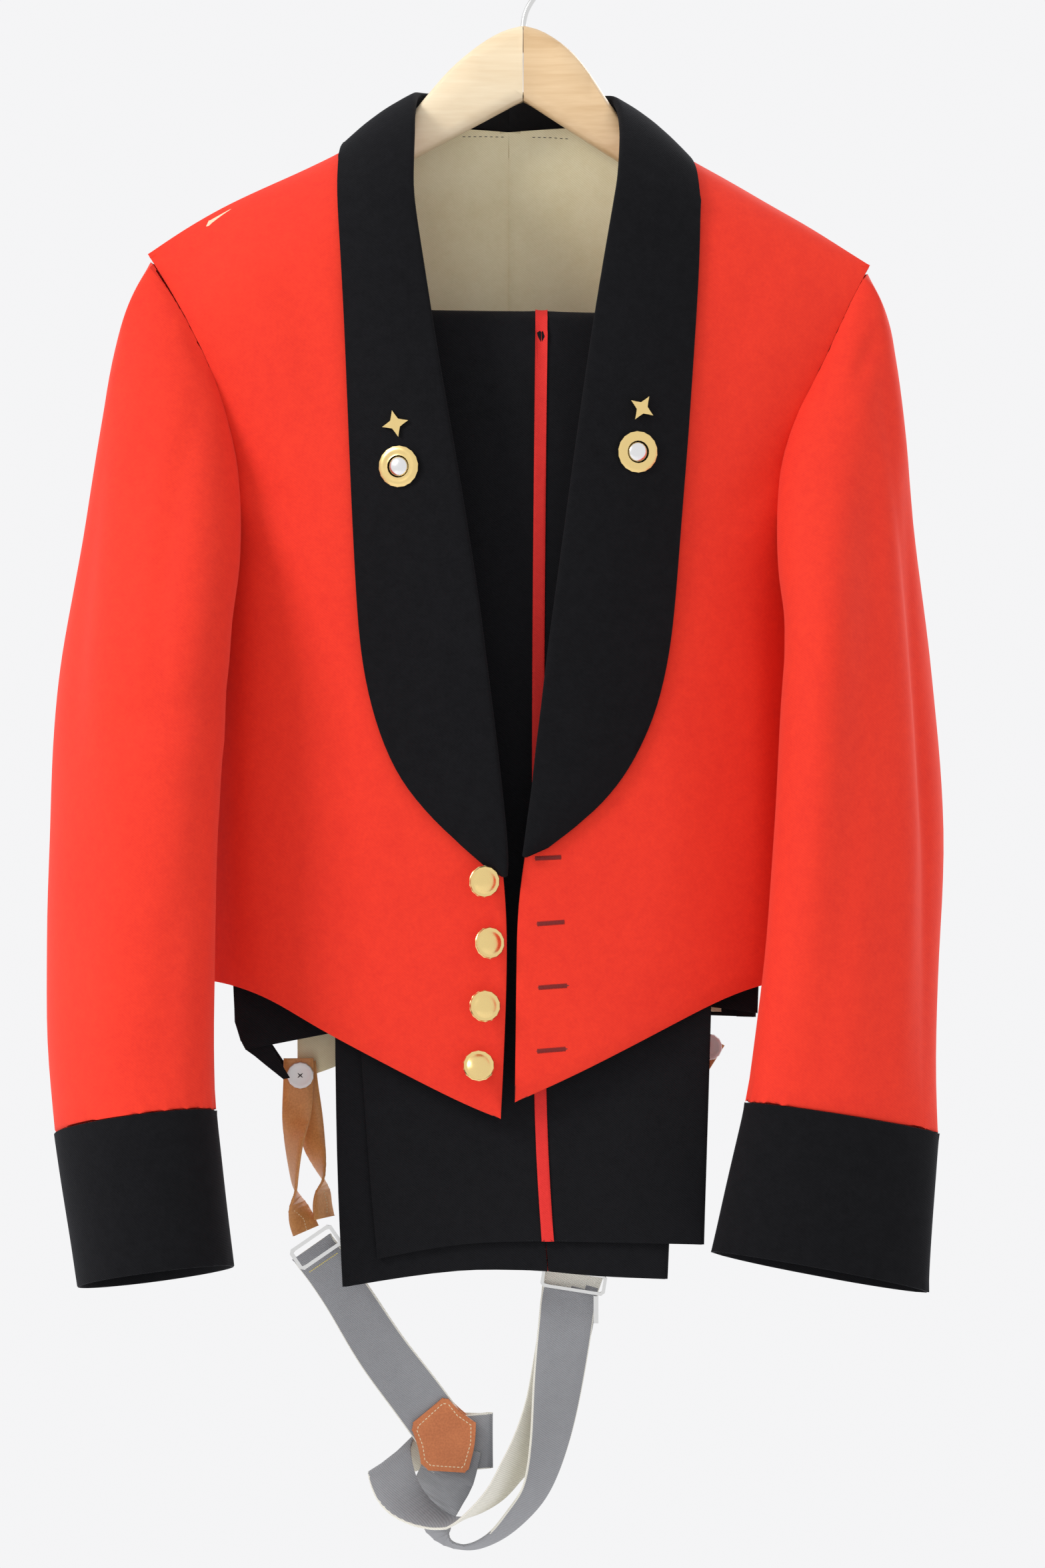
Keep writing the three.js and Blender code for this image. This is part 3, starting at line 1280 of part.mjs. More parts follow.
// Leather ends of the front straps, buttoned inside the waist
const TAB_OUTER = [
  { x: 88, y: -6, z: -730, turn: 0 },
  { x: 103, y: -4.5, z: -707, turn: 0 },
  { x: 117, y: -2.8, z: -685, turn: 0 },
];
const TAB_INNER = [
  { x: 69.2, y: -3, z: -735.4, turn: 180 },
  { x: 78, y: -3, z: -712, turn: 180 },
  { x: 86, y: -2.8, z: -689, turn: 180 },
];
addPiece("tab_outer", ribbon(TAB_OUTER, 16, LEATHER_WALL, 4), "leather");
addPiece("tab_inner", ribbon(TAB_INNER, 16, LEATHER_WALL, 4), "leather");

// A flat metal frame round a strap, turned in the front view
function frame(width, height, rim, thickness, degrees) {
  const box = (w, h, cut) => [
    { x: -w + cut, z: -h },
    { x: w - cut, z: -h },
    { x: w, z: -h + cut },
    { x: w, z: h - cut },
    { x: w - cut, z: h },
    { x: -w + cut, z: h },
    { x: -w, z: h - cut },
    { x: -w, z: -h + cut },
  ];
  const outline = box(width / 2, height / 2, 2);
  const hole = box(width / 2 - rim, height / 2 - rim, 0.8).reverse();
  return flatPiece(outline, thickness, [hole]).rotateY(rad(-degrees));
}
addPiece("fork_loop", frame(31, 15, 2.2, 1.8, 34.5).translate(-127.2, -7.4, -812.6), "steel");
addPiece("adjuster_outer", frame(40, 13, 2, 1.5, -9).translate(31, -8.5, -833), "steel");
addPiece("adjuster_inner", frame(40, 13, 2, 1.5, -24).translate(41, 0.2, -800), "steel");
const lever = () => new THREE.BoxGeometry(3, 2, 17);
addPiece("adjuster_lever_outer", lever().translate(44.6, -9.3, -850.5), "steel");
addPiece("adjuster_lever_inner", lever().translate(56.6, -0.2, -822.6), "steel");

// BUTTONS

// A turned solid standing on a place, its axis given by how far it is turned right and nodded up
const ROUND = 14;
function turnedPiece(profile, place, right = 0, nod = 0) {
  const lathe = new THREE.LatheGeometry(profile.map(([r, h]) => new THREE.Vector2(r, h)), ROUND);
  lathe.rotateX(Math.PI - rad(nod)).rotateZ(rad(right)).translate(place.x, place.y, place.z);
  return outwards(lathe);
}

function outwards(geometry) {
  const bare = geometry.clone();
  bare.deleteAttribute("normal");
  bare.deleteAttribute("uv");
  const merged = mergeVertices(bare, 1e-3);
  const place = merged.attributes.position;
  const points = Array.from({ length: place.count }, (_, i) => vec().fromBufferAttribute(place, i));
  const triangles = [];
  for (let i = 0; i < merged.index.count; i += 3) {
    const triangle = [0, 1, 2].map((k) => merged.index.getX(i + k));
    if (new Set(triangle).size === 3) triangles.push(triangle);
  }
  if (signedVolume(points, triangles) < 0) triangles.forEach((triangle) => triangle.reverse());
  return fromTriangles(points, triangles);
}

// Radius and height of a shank button: shank, back, rim with a raised ring, and dome
const GILT_BUTTON = [
  [0, 0], [1.8, 0], [1.8, 6.2], [BUTTON_RADIUS - 0.8, 6.8], [BUTTON_RADIUS, 7.8],
  [BUTTON_RADIUS - 0.6, 8.7], [BUTTON_RADIUS - 1.6, 8.6], [BUTTON_RADIUS - 2.2, 8.4], [5, 9.8], [0, 10.8],
];
const BUTTONS = [
  { x: -25.6, z: -586.5, right: 18, nod: -4 },
  { x: -23.2, z: -624.4, right: 24, nod: 4 },
  { x: -24.8, z: -662.3, right: 14, nod: 4 },
  { x: -27.2, z: -700.3, right: 4, nod: 20 },
];
const BUTTON_GAP = 1.2; // a tilted shank's edge still clears the cloth
BUTTONS.forEach(({ x, z, right, nod }, i) => {
  const place = vec(x, bodyDepth(x, z, "front") - SEAM / 2 - BUTTON_GAP, z);
  addPiece("button_" + (i + 1), turnedPiece(GILT_BUTTON, place, right, nod), "gilt");
});

const SEWN_BUTTON = [
  [0, 0], [BRACE_BUTTON_RADIUS - 1, 0], [BRACE_BUTTON_RADIUS, 0.8], [BRACE_BUTTON_RADIUS - 0.4, 1.9],
  [BRACE_BUTTON_RADIUS - 1.6, 2.2], [BRACE_BUTTON_RADIUS - 2.8, 1.5], [0, 1.3],
];
addPiece("brace_button_back", turnedPiece(SEWN_BUTTON, vec(-136.8, -4.9, -707.4), 0), "white");
addPiece("brace_button_outer", turnedPiece(SEWN_BUTTON, vec(114, -5.2, -690), 0), "white");
addPiece("brace_button_inner", turnedPiece(SEWN_BUTTON, vec(84, -4.4, -695), 0), "white");

// BADGES on the lapels: a plain four-pointed star over a plain ring with a silver dome

// The place on a collar's face nearest to a place in the front view, with the direction it faces
function onCollar(side, x, z) {
  const face = collars[side].slice(6).map((line) => line.slice(6));
  let best = null;
  for (let i = 0; i < face.length - 1; i += 1) {
    for (let j = 0; j < face[0].length - 1; j += 1) {
      const [a, b, c] = [face[i][j], face[i][j + 1], face[i + 1][j]];
      const middle = a.clone().add(b).add(c).add(face[i + 1][j + 1]).multiplyScalar(0.25);
      const away = Math.hypot(middle.x - x, middle.z - z);
      if (!best || away < best.away) {
        const normal = b.clone().sub(a).cross(c.clone().sub(a)).normalize();
        if (normal.y > 0) normal.negate();
        const y = middle.y - (normal.x * (x - middle.x) + normal.z * (z - middle.z)) / normal.y;
        best = { away, normal, place: vec(x, y, z) };
      }
    }
  }
  return best;
}

function onLapel(geometry, side, x, z, spin, lift) {
  const { normal, place } = onCollar(side, x, z);
  geometry.rotateZ(rad(spin));
  geometry.applyQuaternion(new THREE.Quaternion().setFromUnitVectors(vec(0, 0, 1), normal));
  place.addScaledVector(normal, lift);
  return outwards(geometry.translate(place.x, place.y, place.z));
}

const STAR_RADIUS = 8.2;
const RING_RADIUS = 12.4;
const DOME_RADIUS = 6.4;
const BADGE_WALL = 1.6;
const BADGE_GAP = 0.5;
const BADGES = {
  left: { star: { x: -76.3, z: -313, spin: 4 }, ring: { x: -74.3, z: -338.5 } },
  right: { star: { x: 70.7, z: -303.4, spin: -16 }, ring: { x: 68.3, z: -329.7 } },
};
const RING_BADGE = [
  [DOME_RADIUS + 0.35, 0], [RING_RADIUS, 0], [RING_RADIUS, 0.9], [RING_RADIUS - 2, 2.1],
  [DOME_RADIUS + 1.6, 1.5], [DOME_RADIUS + 0.35, 1.9], [DOME_RADIUS + 0.35, 0],
];
const DOME_BADGE = [[0, 0], [DOME_RADIUS, 0], [DOME_RADIUS - 0.4, 1.6], [4, 3], [0, 3.8]];
const lathed = (profile) => {
  return new THREE.LatheGeometry(profile.map(([r, h]) => new THREE.Vector2(r, h)), 18).rotateX(Math.PI / 2);
};
for (const side of ["left", "right"]) {
  const { star, ring } = BADGES[side];
  const points = steps(8).slice(0, -1).map((t, i) => {
    const radius = i % 2 === 0 ? STAR_RADIUS : STAR_RADIUS * 0.42;
    return new THREE.Vector2(radius * Math.sin(t * 2 * Math.PI), radius * Math.cos(t * 2 * Math.PI));
  });
  const wall = { depth: BADGE_WALL, bevelEnabled: false };
  const starShape = new THREE.ExtrudeGeometry(new THREE.Shape(points), wall);
  addPiece("badge_star_" + side, onLapel(starShape, side, star.x, star.z, star.spin, BADGE_GAP), "gilt");
  addPiece("badge_ring_" + side, onLapel(lathed(RING_BADGE), side, ring.x, ring.z, 0, BADGE_GAP), "gilt");
  addPiece("badge_dome_" + side, onLapel(lathed(DOME_BADGE), side, ring.x, ring.z, 0, BADGE_GAP), "silver");
}

export default uniform;
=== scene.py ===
# %% [markdown]
# A mess dress uniform on a wooden hanger
# The solids of this object have the garment's main shape. This notebook dresses them: it rounds each
# cut piece into cloth, presses its folds, and gives each piece its finish and stitching.
# Everything is in metres. X is to the viewer's right, Y goes away from the viewer and Z is up.

# %% Load the frame
import math
import bpy
import numpy as np
from mathutils import Matrix, Vector
from mathutils.bvhtree import BVHTree
from mathutils.kdtree import KDTree


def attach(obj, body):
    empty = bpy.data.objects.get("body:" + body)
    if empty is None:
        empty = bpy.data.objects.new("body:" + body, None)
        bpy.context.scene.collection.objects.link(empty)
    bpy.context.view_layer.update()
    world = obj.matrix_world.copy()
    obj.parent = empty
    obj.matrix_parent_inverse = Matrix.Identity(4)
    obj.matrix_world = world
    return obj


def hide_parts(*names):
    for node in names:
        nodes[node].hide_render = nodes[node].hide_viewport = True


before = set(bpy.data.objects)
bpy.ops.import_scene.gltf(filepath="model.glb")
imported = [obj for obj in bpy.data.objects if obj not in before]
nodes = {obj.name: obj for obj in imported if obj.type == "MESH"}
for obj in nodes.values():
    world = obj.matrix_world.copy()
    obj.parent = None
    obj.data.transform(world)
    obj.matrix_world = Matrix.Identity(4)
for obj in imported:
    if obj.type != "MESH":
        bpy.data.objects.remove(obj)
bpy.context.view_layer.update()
bpy.ops.object.select_all(action="DESELECT")
MM = 0.001
print("nodes:", len(nodes))

# %% [markdown]
# Camera and room
# The uniform was photographed from about two and a half metres, level with its middle. A long lens
# at that distance gives the same perspective. The backdrop is a pale, even white, which also gives
# most of the light. One lamp from the upper left shapes the folds, and another lights the back.

# %% Camera, floor and lights
VIEW_DISTANCE = 2.6
VIEW_LEVEL = -0.5286
VIEW_HEIGHT = 0.9643  # height of the picture at the hanger, in metres

camera_data = bpy.data.cameras.new("camera")
camera_data.sensor_fit = "VERTICAL"
camera_data.sensor_height = 24
camera_data.lens = 24 * VIEW_DISTANCE / VIEW_HEIGHT
camera = bpy.data.objects.new("camera", camera_data)
camera.location = (-0.0004, -VIEW_DISTANCE, VIEW_LEVEL)
camera.rotation_euler = (math.radians(90), 0, 0)
bpy.context.scene.collection.objects.link(camera)
bpy.context.scene.camera = camera
bpy.context.scene.view_settings.view_transform = "Standard"


def plain_material(name, colour, roughness):
    material = bpy.data.materials.new(name)
    material.use_nodes = True
    shader = material.node_tree.nodes["Principled BSDF"]
    shader.inputs["Base Color"].default_value = (*colour, 1)
    shader.inputs["Roughness"].default_value = roughness
    return material


floor_paint = plain_material("floor_paint", (0.86, 0.86, 0.87), 0.9)
bpy.ops.mesh.primitive_plane_add(size=3.4, location=(0, 0, -1.35))
floor = bpy.context.object
floor.name = "floor"
floor.data.materials.append(floor_paint)
floor.select_set(False)


def soft_light(name, place, aim, size, watts):
    data = bpy.data.lights.new(name, "AREA")
    data.shape = "SQUARE"
    data.size = size
    data.energy = watts
    lamp = bpy.data.objects.new(name, data)
    lamp.location = place
    direction = Vector(aim) - Vector(place)
    lamp.rotation_euler = direction.to_track_quat("-Z", "Y").to_euler()
    bpy.context.scene.collection.objects.link(lamp)


soft_light("key", (-2.2, -1.5, 1.0), (0, 0, -0.5), 0.9, 44)
soft_light("back_light", (1.6, 2.2, 1.0), (0, 0, -0.5), 1.4, 30)
world = bpy.data.worlds.new("room")
world.use_nodes = True
world.node_tree.nodes["Background"].inputs["Color"].default_value = (0.99, 0.99, 1, 1)
world.node_tree.nodes["Background"].inputs["Strength"].default_value = 0.92
bpy.context.scene.world = world
print("camera, floor and two soft lights")

# %% [markdown]
# Woven cloth
# All the cloths share one surface effect: threads in a diagonal twill, a soft nap over them, and a
# slow change of tone where the cloth has been worn and pressed. It is one node group with its own
# amounts for each cloth, so that the scale stays true everywhere.

# %% The woven surface, as a node group


def new_group(name, inputs):
    group = bpy.data.node_groups.new(name, "ShaderNodeTree")
    for label, value in inputs.items():
        socket = group.interface.new_socket(label, in_out="INPUT", socket_type="NodeSocketFloat")
        socket.default_value = value
    for label in ("Tone", "Height"):
        group.interface.new_socket(label, in_out="OUTPUT", socket_type="NodeSocketFloat")
    return group, group.nodes.new("NodeGroupInput"), group.nodes.new("NodeGroupOutput")


def maths(tree, operation, a, b):
    """A Math node on two values, each a socket or a number."""
    node = tree.nodes.new("ShaderNodeMath")
    node.operation = operation
    for socket, value in zip(node.inputs, (a, b)):
        if isinstance(value, (int, float)):
            socket.default_value = value
        else:
            tree.links.new(value, socket)
    return node.outputs[0]


def object_place(tree, turn=(0, 0, 0), scale=(1, 1, 1)):
    place = tree.nodes.new("ShaderNodeTexCoord").outputs["Object"]
    mapping = tree.nodes.new("ShaderNodeMapping")
    mapping.inputs["Rotation"].default_value = [math.radians(a) for a in turn]
    mapping.inputs["Scale"].default_value = scale
    tree.links.new(place, mapping.inputs["Vector"])
    return mapping.outputs[0]


def noise(tree, place, scale, detail=2.0):
    node = tree.nodes.new("ShaderNodeTexNoise")
    node.inputs["Scale"].default_value = scale
    node.inputs["Detail"].default_value = detail
    tree.links.new(place, node.inputs["Vector"])
    return node.outputs["Fac"]


def bands(tree, place, period):
    """Even bands along the X of a place, one each period in metres."""
    node = tree.nodes.new("ShaderNodeTexWave")
    node.inputs["Scale"].default_value = math.pi / (10 * period)
    node.inputs["Distortion"].default_value = 1.2
    node.inputs["Detail"].default_value = 1
    node.inputs["Detail Scale"].default_value = 0.4
    tree.links.new(place, node.inputs["Vector"])
    return node.outputs["Fac"]


TWILL_PERIOD = 0.0011
woven, given, made = new_group("woven_surface", {"Nap": 0.5, "Twill": 0.5, "Mottle": 0.3})
level = object_place(woven)
twill = bands(woven, object_place(woven, turn=(0, 52, 0)), TWILL_PERIOD)
nap = noise(woven, level, 620, 3)
tufts = noise(woven, level, 150, 3)
mottle = noise(woven, level, 16, 4)
nap_tone = maths(woven, "MULTIPLY", maths(woven, "ADD", nap, tufts), given.outputs["Nap"])
twill_tone = maths(woven, "MULTIPLY", twill, given.outputs["Twill"])
mottle_tone = maths(woven, "MULTIPLY", mottle, given.outputs["Mottle"])
relief = maths(woven, "ADD", nap_tone, twill_tone)
woven.links.new(maths(woven, "ADD", relief, mottle_tone), made.inputs["Tone"])
woven.links.new(relief, made.inputs["Height"])
print("node group", woven.name)


def textured(name, low, high, roughness, effect, amounts, bump, depth, span=(0.25, 1.0)):
    """A material whose colour runs from low to high with a group's tone, and whose bump is its height."""
    material = plain_material(name, low, roughness)
    tree = material.node_tree
    surface = tree.nodes.new("ShaderNodeGroup")
    surface.node_tree = effect
    for label, value in amounts.items():
        surface.inputs[label].default_value = value
    ramp = tree.nodes.new("ShaderNodeMapRange")
    ramp.inputs["From Min"].default_value, ramp.inputs["From Max"].default_value = span
    tree.links.new(surface.outputs["Tone"], ramp.inputs["Value"])
    mix = tree.nodes.new("ShaderNodeMix")
    mix.data_type = "RGBA"
    mix.inputs["A"].default_value = (*low, 1)
    mix.inputs["B"].default_value = (*high, 1)
    tree.links.new(ramp.outputs["Result"], mix.inputs["Factor"])
    shader = tree.nodes["Principled BSDF"]
    tree.links.new(mix.outputs["Result"], shader.inputs["Base Color"])
    bumped = tree.nodes.new("ShaderNodeBump")
    bumped.inputs["Strength"].default_value = bump
    bumped.inputs["Distance"].default_value = depth
    tree.links.new(surface.outputs["Height"], bumped.inputs["Height"])
    tree.links.new(bumped.outputs["Normal"], shader.inputs["Normal"])
    return material


def with_sheen(material, weight, roughness, tint):
    shader = material.node_tree.nodes["Principled BSDF"]
    shader.inputs["Sheen Weight"].default_value = weight
    shader.inputs["Sheen Roughness"].default_value = roughness
    shader.inputs["Sheen Tint"].default_value = (*tint, 1)
    return material


# %% [markdown]
# The cloths
# The jacket is scarlet wool with a milled, almost felted face. The collar, the cuffs and the trousers
# are near-black navy: facecloth on the jacket and a plainer twill for the trousers. The body lining
# is cream satin, which is smoother and catches the light.

# %% Cloth materials
scarlet = textured("scarlet_wool", (0.66, 0.012, 0.003), (0.84, 0.033, 0.007), 0.86, woven,
                   {"Nap": 0.42, "Twill": 0.18, "Mottle": 0.3}, 0.35, 0.0004)
with_sheen(scarlet, 0.12, 0.5, (1, 0.35, 0.25))
navy_face = textured("navy_facecloth", (0.0022, 0.0022, 0.0028), (0.0075, 0.0075, 0.0088), 0.95, woven,
                     {"Nap": 0.5, "Twill": 0.3, "Mottle": 0.2}, 0.5, 0.0005)
with_sheen(navy_face, 0.03, 0.45, (0.75, 0.78, 0.9))
navy_wool = textured("navy_wool", (0.0024, 0.0024, 0.0030), (0.0090, 0.0090, 0.0105), 0.95, woven,
                     {"Nap": 0.45, "Twill": 0.5, "Mottle": 0.25}, 0.5, 0.0005)
with_sheen(navy_wool, 0.03, 0.5, (0.8, 0.82, 0.9))
stripe_red = textured("red_stripe", (0.60, 0.010, 0.008), (0.80, 0.026, 0.018), 0.82, woven,
                      {"Nap": 0.4, "Twill": 0.3, "Mottle": 0.1}, 0.4, 0.0004)
satin = textured("cream_lining", (0.66, 0.57, 0.31), (0.86, 0.80, 0.55), 0.42, woven,
                 {"Nap": 0.2, "Twill": 0.25, "Mottle": 0.7}, 0.18, 0.0004, span=(0.35, 0.95))
with_sheen(satin, 0.2, 0.3, (1, 0.97, 0.85))
webbing = textured("grey_webbing", (0.215, 0.218, 0.230), (0.305, 0.310, 0.325), 0.78, woven,
                   {"Nap": 0.3, "Twill": 0.6, "Mottle": 0.2}, 0.4, 0.0004)
webbing_back = textured("webbing_reverse", (0.62, 0.60, 0.52), (0.80, 0.78, 0.70), 0.8, woven,
                        {"Nap": 0.3, "Twill": 0.6, "Mottle": 0.2}, 0.4, 0.0004)
MATT = 0.12  # the dark wools hardly reflect
for dark in (navy_face, navy_wool):
    dark.node_tree.nodes["Principled BSDF"].inputs["Specular IOR Level"].default_value = MATT
print("seven cloths")

# %% [markdown]
# Wood, leather and metal
# The hanger is pale varnished wood with a faint grain along each arm. The leather of the braces is
# tan with a fine pebbled grain and paler wear at random places. The buttons are gilt brass with a soft
# polish.

# %% Grain and hide, as node groups
grain, given, made = new_group("wood_grain", {"Rings": 0.6, "Fibre": 0.4})
along = object_place(grain, scale=(6, 60, 60))
rings = maths(grain, "MULTIPLY", noise(grain, along, 1.1, 3), given.outputs["Rings"])
fibre_place = object_place(grain, scale=(20, 500, 500))
fibre = maths(grain, "MULTIPLY", noise(grain, fibre_place, 1.0, 2), given.outputs["Fibre"])
grain.links.new(maths(grain, "ADD", rings, fibre), made.inputs["Tone"])
grain.links.new(fibre, made.inputs["Height"])

hide, given, made = new_group("leather_grain", {"Pebble": 0.5, "Wear": 0.5})
cells = hide.nodes.new("ShaderNodeTexVoronoi")
cells.inputs["Scale"].default_value = 900
hide.links.new(object_place(hide), cells.inputs["Vector"])
pebble = maths(hide, "MULTIPLY", cells.outputs["Distance"], given.outputs["Pebble"])
wear = maths(hide, "MULTIPLY", noise(hide, object_place(hide), 60, 4), given.outputs["Wear"])
hide.links.new(maths(hide, "ADD", pebble, wear), made.inputs["Tone"])
hide.links.new(pebble, made.inputs["Height"])


def polished(name, colour, roughness, metallic=1.0):
    """A metal with a slightly uneven polish."""
    material = plain_material(name, colour, roughness)
    tree = material.node_tree
    shader = tree.nodes["Principled BSDF"]
    shader.inputs["Metallic"].default_value = metallic
    ramp = tree.nodes.new("ShaderNodeMapRange")
    ramp.inputs["To Min"].default_value = roughness * 0.7
    ramp.inputs["To Max"].default_value = roughness * 1.4
    tree.links.new(noise(tree, object_place(tree), 260, 3), ramp.inputs["Value"])
    tree.links.new(ramp.outputs["Result"], shader.inputs["Roughness"])
    return material


GRAIN = {"Rings": 0.75, "Fibre": 0.35}
wood = textured("pale_wood", (0.60, 0.38, 0.18), (0.80, 0.58, 0.34), 0.38, grain, GRAIN, 0.12, 0.0003,
                span=(0.3, 0.75))
# The same wood painted lighter for the left arm: a painted highlight where the light falls on that arm
wood_with_painted_highlight = textured("pale_wood_painted_highlight", (0.74, 0.56, 0.34), (0.88, 0.74, 0.52), 0.38, grain, GRAIN,
                      0.12, 0.0003, span=(0.3, 0.75))
for varnished in (wood, wood_with_painted_highlight):
    varnished.node_tree.nodes["Principled BSDF"].inputs["Coat Weight"].default_value = 0.25
    varnished.node_tree.nodes["Principled BSDF"].inputs["Coat Roughness"].default_value = 0.3
tan = textured("tan_leather", (0.42, 0.150, 0.036), (0.62, 0.275, 0.085), 0.5, hide,
               {"Pebble": 0.5, "Wear": 0.8}, 0.4, 0.0003, span=(0.2, 0.85))
patch_tan = textured("patch_leather", (0.38, 0.100, 0.026), (0.56, 0.175, 0.055), 0.45, hide,
                     {"Pebble": 0.5, "Wear": 0.8}, 0.4, 0.0003, span=(0.2, 0.85))
steel = polished("bright_steel", (0.72, 0.72, 0.71), 0.2)
gilt = polished("gilt_brass", (0.84, 0.63, 0.27), 0.26)
silver = polished("silver_dome", (0.80, 0.80, 0.80), 0.22)
plastic = polished("white_plastic", (0.80, 0.80, 0.78), 0.35, metallic=0)
print("wood, leather and metals")

# %% [markdown]
# Rounding a cut piece into cloth
# A solid is loose triangles, so a copy is merged and its triangles are joined to quads first. Its cut
# edges are creased, so that subdivision rounds the cloth but keeps the edges. Modifiers are applied,
# because the folds are pressed into the finished points.

# %% A rounded copy of a solid
FINE = 2
MERGE_DISTANCE = 0.00002
QUAD_BEND = math.radians(35)  # two triangles that bend more than this are not joined to a quad
QUAD_SKEW = math.radians(70)
SAME_SIDE = 0.5  # cosine of the angle up to which faces count as one side of a strap
CREASED = math.radians(50)  # an edge that turns more than this is shaded sharp


def pin_corners(mesh, turn=16):
    """Keeps the corners of the cut edges where they are when the piece is subdivided."""
    creases = mesh.attributes["crease_edge"].data
    directions = {}
    for edge in mesh.edges:
        if creases[edge.index].value > 0:
            a, b = edge.vertices
            along = (mesh.vertices[b].co - mesh.vertices[a].co).normalized()
            directions.setdefault(a, []).append(along)
            directions.setdefault(b, []).append(-along)
    pins = mesh.attributes.new("crease_vert", "FLOAT", "POINT").data
    for index, found in directions.items():
        bends = len(found) == 2 and found[0].angle(-found[1]) > math.radians(turn)
        if len(found) > 2 or bends:
            pins[index].value = 1


def paint_reverse(mesh, seed, facing, material):
    """Keeps the first material on one side of a strap and gives its rims and its other side another.
    The kept side starts at the face nearest to seed that faces the given way, and ends at sharp edges."""
    mesh.materials.append(material)
    facing = Vector(facing)
    near = min(
        (face for face in mesh.polygons if face.normal.dot(facing) > SAME_SIDE),
        key=lambda face: (face.center - Vector(seed) * MM).length,
    )
    faces_at = {}
    for face in mesh.polygons:
        for edge in face.edge_keys:
            faces_at.setdefault(edge, []).append(face.index)
    found, waiting = {near.index}, [near.index]
    while waiting:
        face = mesh.polygons[waiting.pop()]
        for edge in face.edge_keys:
            for other in faces_at[edge]:
                if other not in found and mesh.polygons[other].normal.dot(face.normal) > SAME_SIDE:
                    found.add(other)
                    waiting.append(other)
    for face in mesh.polygons:
        face.material_index = 0 if face.index in found else 1
    print("faces kept:", len(found), "of", len(mesh.polygons))


def rounded_copy(node, piece, material, levels=FINE, sharp=48, crease=0.8, reverse=None):
    mesh = nodes[node].data.copy()
    copy = bpy.data.objects.new(piece, mesh)
    bpy.context.scene.collection.objects.link(copy)
    bpy.context.view_layer.objects.active = copy
    copy.select_set(True)
    bpy.ops.object.mode_set(mode="EDIT")
    bpy.ops.mesh.select_all(action="SELECT")
    bpy.ops.mesh.remove_doubles(threshold=MERGE_DISTANCE)
    bpy.ops.mesh.customdata_custom_splitnormals_clear()
    bpy.ops.mesh.tris_convert_to_quads(face_threshold=QUAD_BEND, shape_threshold=QUAD_SKEW)
    bpy.ops.mesh.select_all(action="DESELECT")
    bpy.ops.mesh.select_mode(type="EDGE")
    bpy.ops.mesh.edges_select_sharp(sharpness=math.radians(sharp))
    bpy.ops.transform.edge_crease(value=crease)
    bpy.ops.object.mode_set(mode="OBJECT")
    pin_corners(mesh)
    mesh.materials.clear()
    mesh.materials.append(material)
    if reverse:
        paint_reverse(mesh, *reverse)
    if levels:
        smooth = copy.modifiers.new("rounding", "SUBSURF")
        smooth.levels = smooth.render_levels = levels
        bpy.ops.object.modifier_apply(modifier=smooth.name)
    bpy.ops.object.shade_smooth_by_angle(angle=CREASED)
    copy.select_set(False)
    return copy


def finish_piece(piece, slot, *replaced):
    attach(piece, "root")
    if replaced:
        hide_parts(*replaced)
    return piece


def points_of(piece):
    points = np.empty(len(piece.data.vertices) * 3)
    piece.data.vertices.foreach_get("co", points)
    return points.reshape(-1, 3)


def set_points(piece, points):
    piece.data.vertices.foreach_set("co", points.ravel())
    piece.data.update()


# %% [markdown]
# Folds
# Worn cloth is never even. Each fold here is a soft ridge or trough along a line drawn in the front
# view, with a height and a width. It fades at its ends and lies only on the front or only on the
# back of the garment. The hidden sides get folds of the same kind.

# %% Pressing folds into a piece
END_START, END_SPAN, END_POWER = 0.12, 0.76, 0.7  # how a fold rises from its ends
FACING_GAIN = 1.6  # how soon a fold reaches its full height round the side of the garment
WAVES = 7


def distance_to_line(places, line):
    """Distance of each (x, z) place from a line of points, and how far along the line it is, 0 to 1."""
    best = np.full(len(places), 1e9)
    share = np.zeros(len(places))
    steps = np.diff(line, axis=0)
    lengths = np.linalg.norm(steps, axis=1)
    run = np.concatenate([[0], np.cumsum(lengths)])
    for start, step, length, before in zip(line[:-1], steps, lengths, run):
        t = np.clip(((places - start) @ step) / length**2, 0, 1)
        away = np.linalg.norm(places - (start + t[:, None] * step), axis=1)
        closer = away < best
        best[closer] = away[closer]
        share[closer] = ((before + t * length) / run[-1])[closer]
    return best, share


def press(points, outward, folds):
    """Moves points along outward. A fold is its side, rise and width in mm and its line of (x, z) in mm."""
    moved = np.zeros(len(points))
    for side, rise, width, line in folds:
        facing = -outward[:, 1] if side == "front" else outward[:, 1]
        away, share = distance_to_line(points[:, [0, 2]] / MM, np.array(line, float))
        ends = np.sin(np.pi * np.clip(END_START + END_SPAN * share, 0, 1)) ** END_POWER
        moved += rise * MM * np.exp(-((away / width) ** 2)) * ends * np.clip(facing * FACING_GAIN, 0, 1)
    return points + outward * moved[:, None]


def slow_waves(points, amount, seed):
    """A slight unevenness of hanging cloth: a few long waves, the same each run."""
    rng = np.random.default_rng(seed)
    total = np.zeros(len(points))
    for _ in range(WAVES):
        direction = rng.normal(size=3) * (1, 0.6, 0.7)
        direction /= np.linalg.norm(direction)
        length = rng.uniform(0.07, 0.2)
        total += np.sin(points @ direction * (2 * math.pi / length) + rng.uniform(0, 6.3))
    return total * amount * MM / WAVES


# %% [markdown]
# The jacket's body
# Two fronts and two backs meet at the shoulders and down the sides. On a hanger the empty body keeps
# a soft vertical fold below each armhole, and light drag lines run from the armhole to the chest.

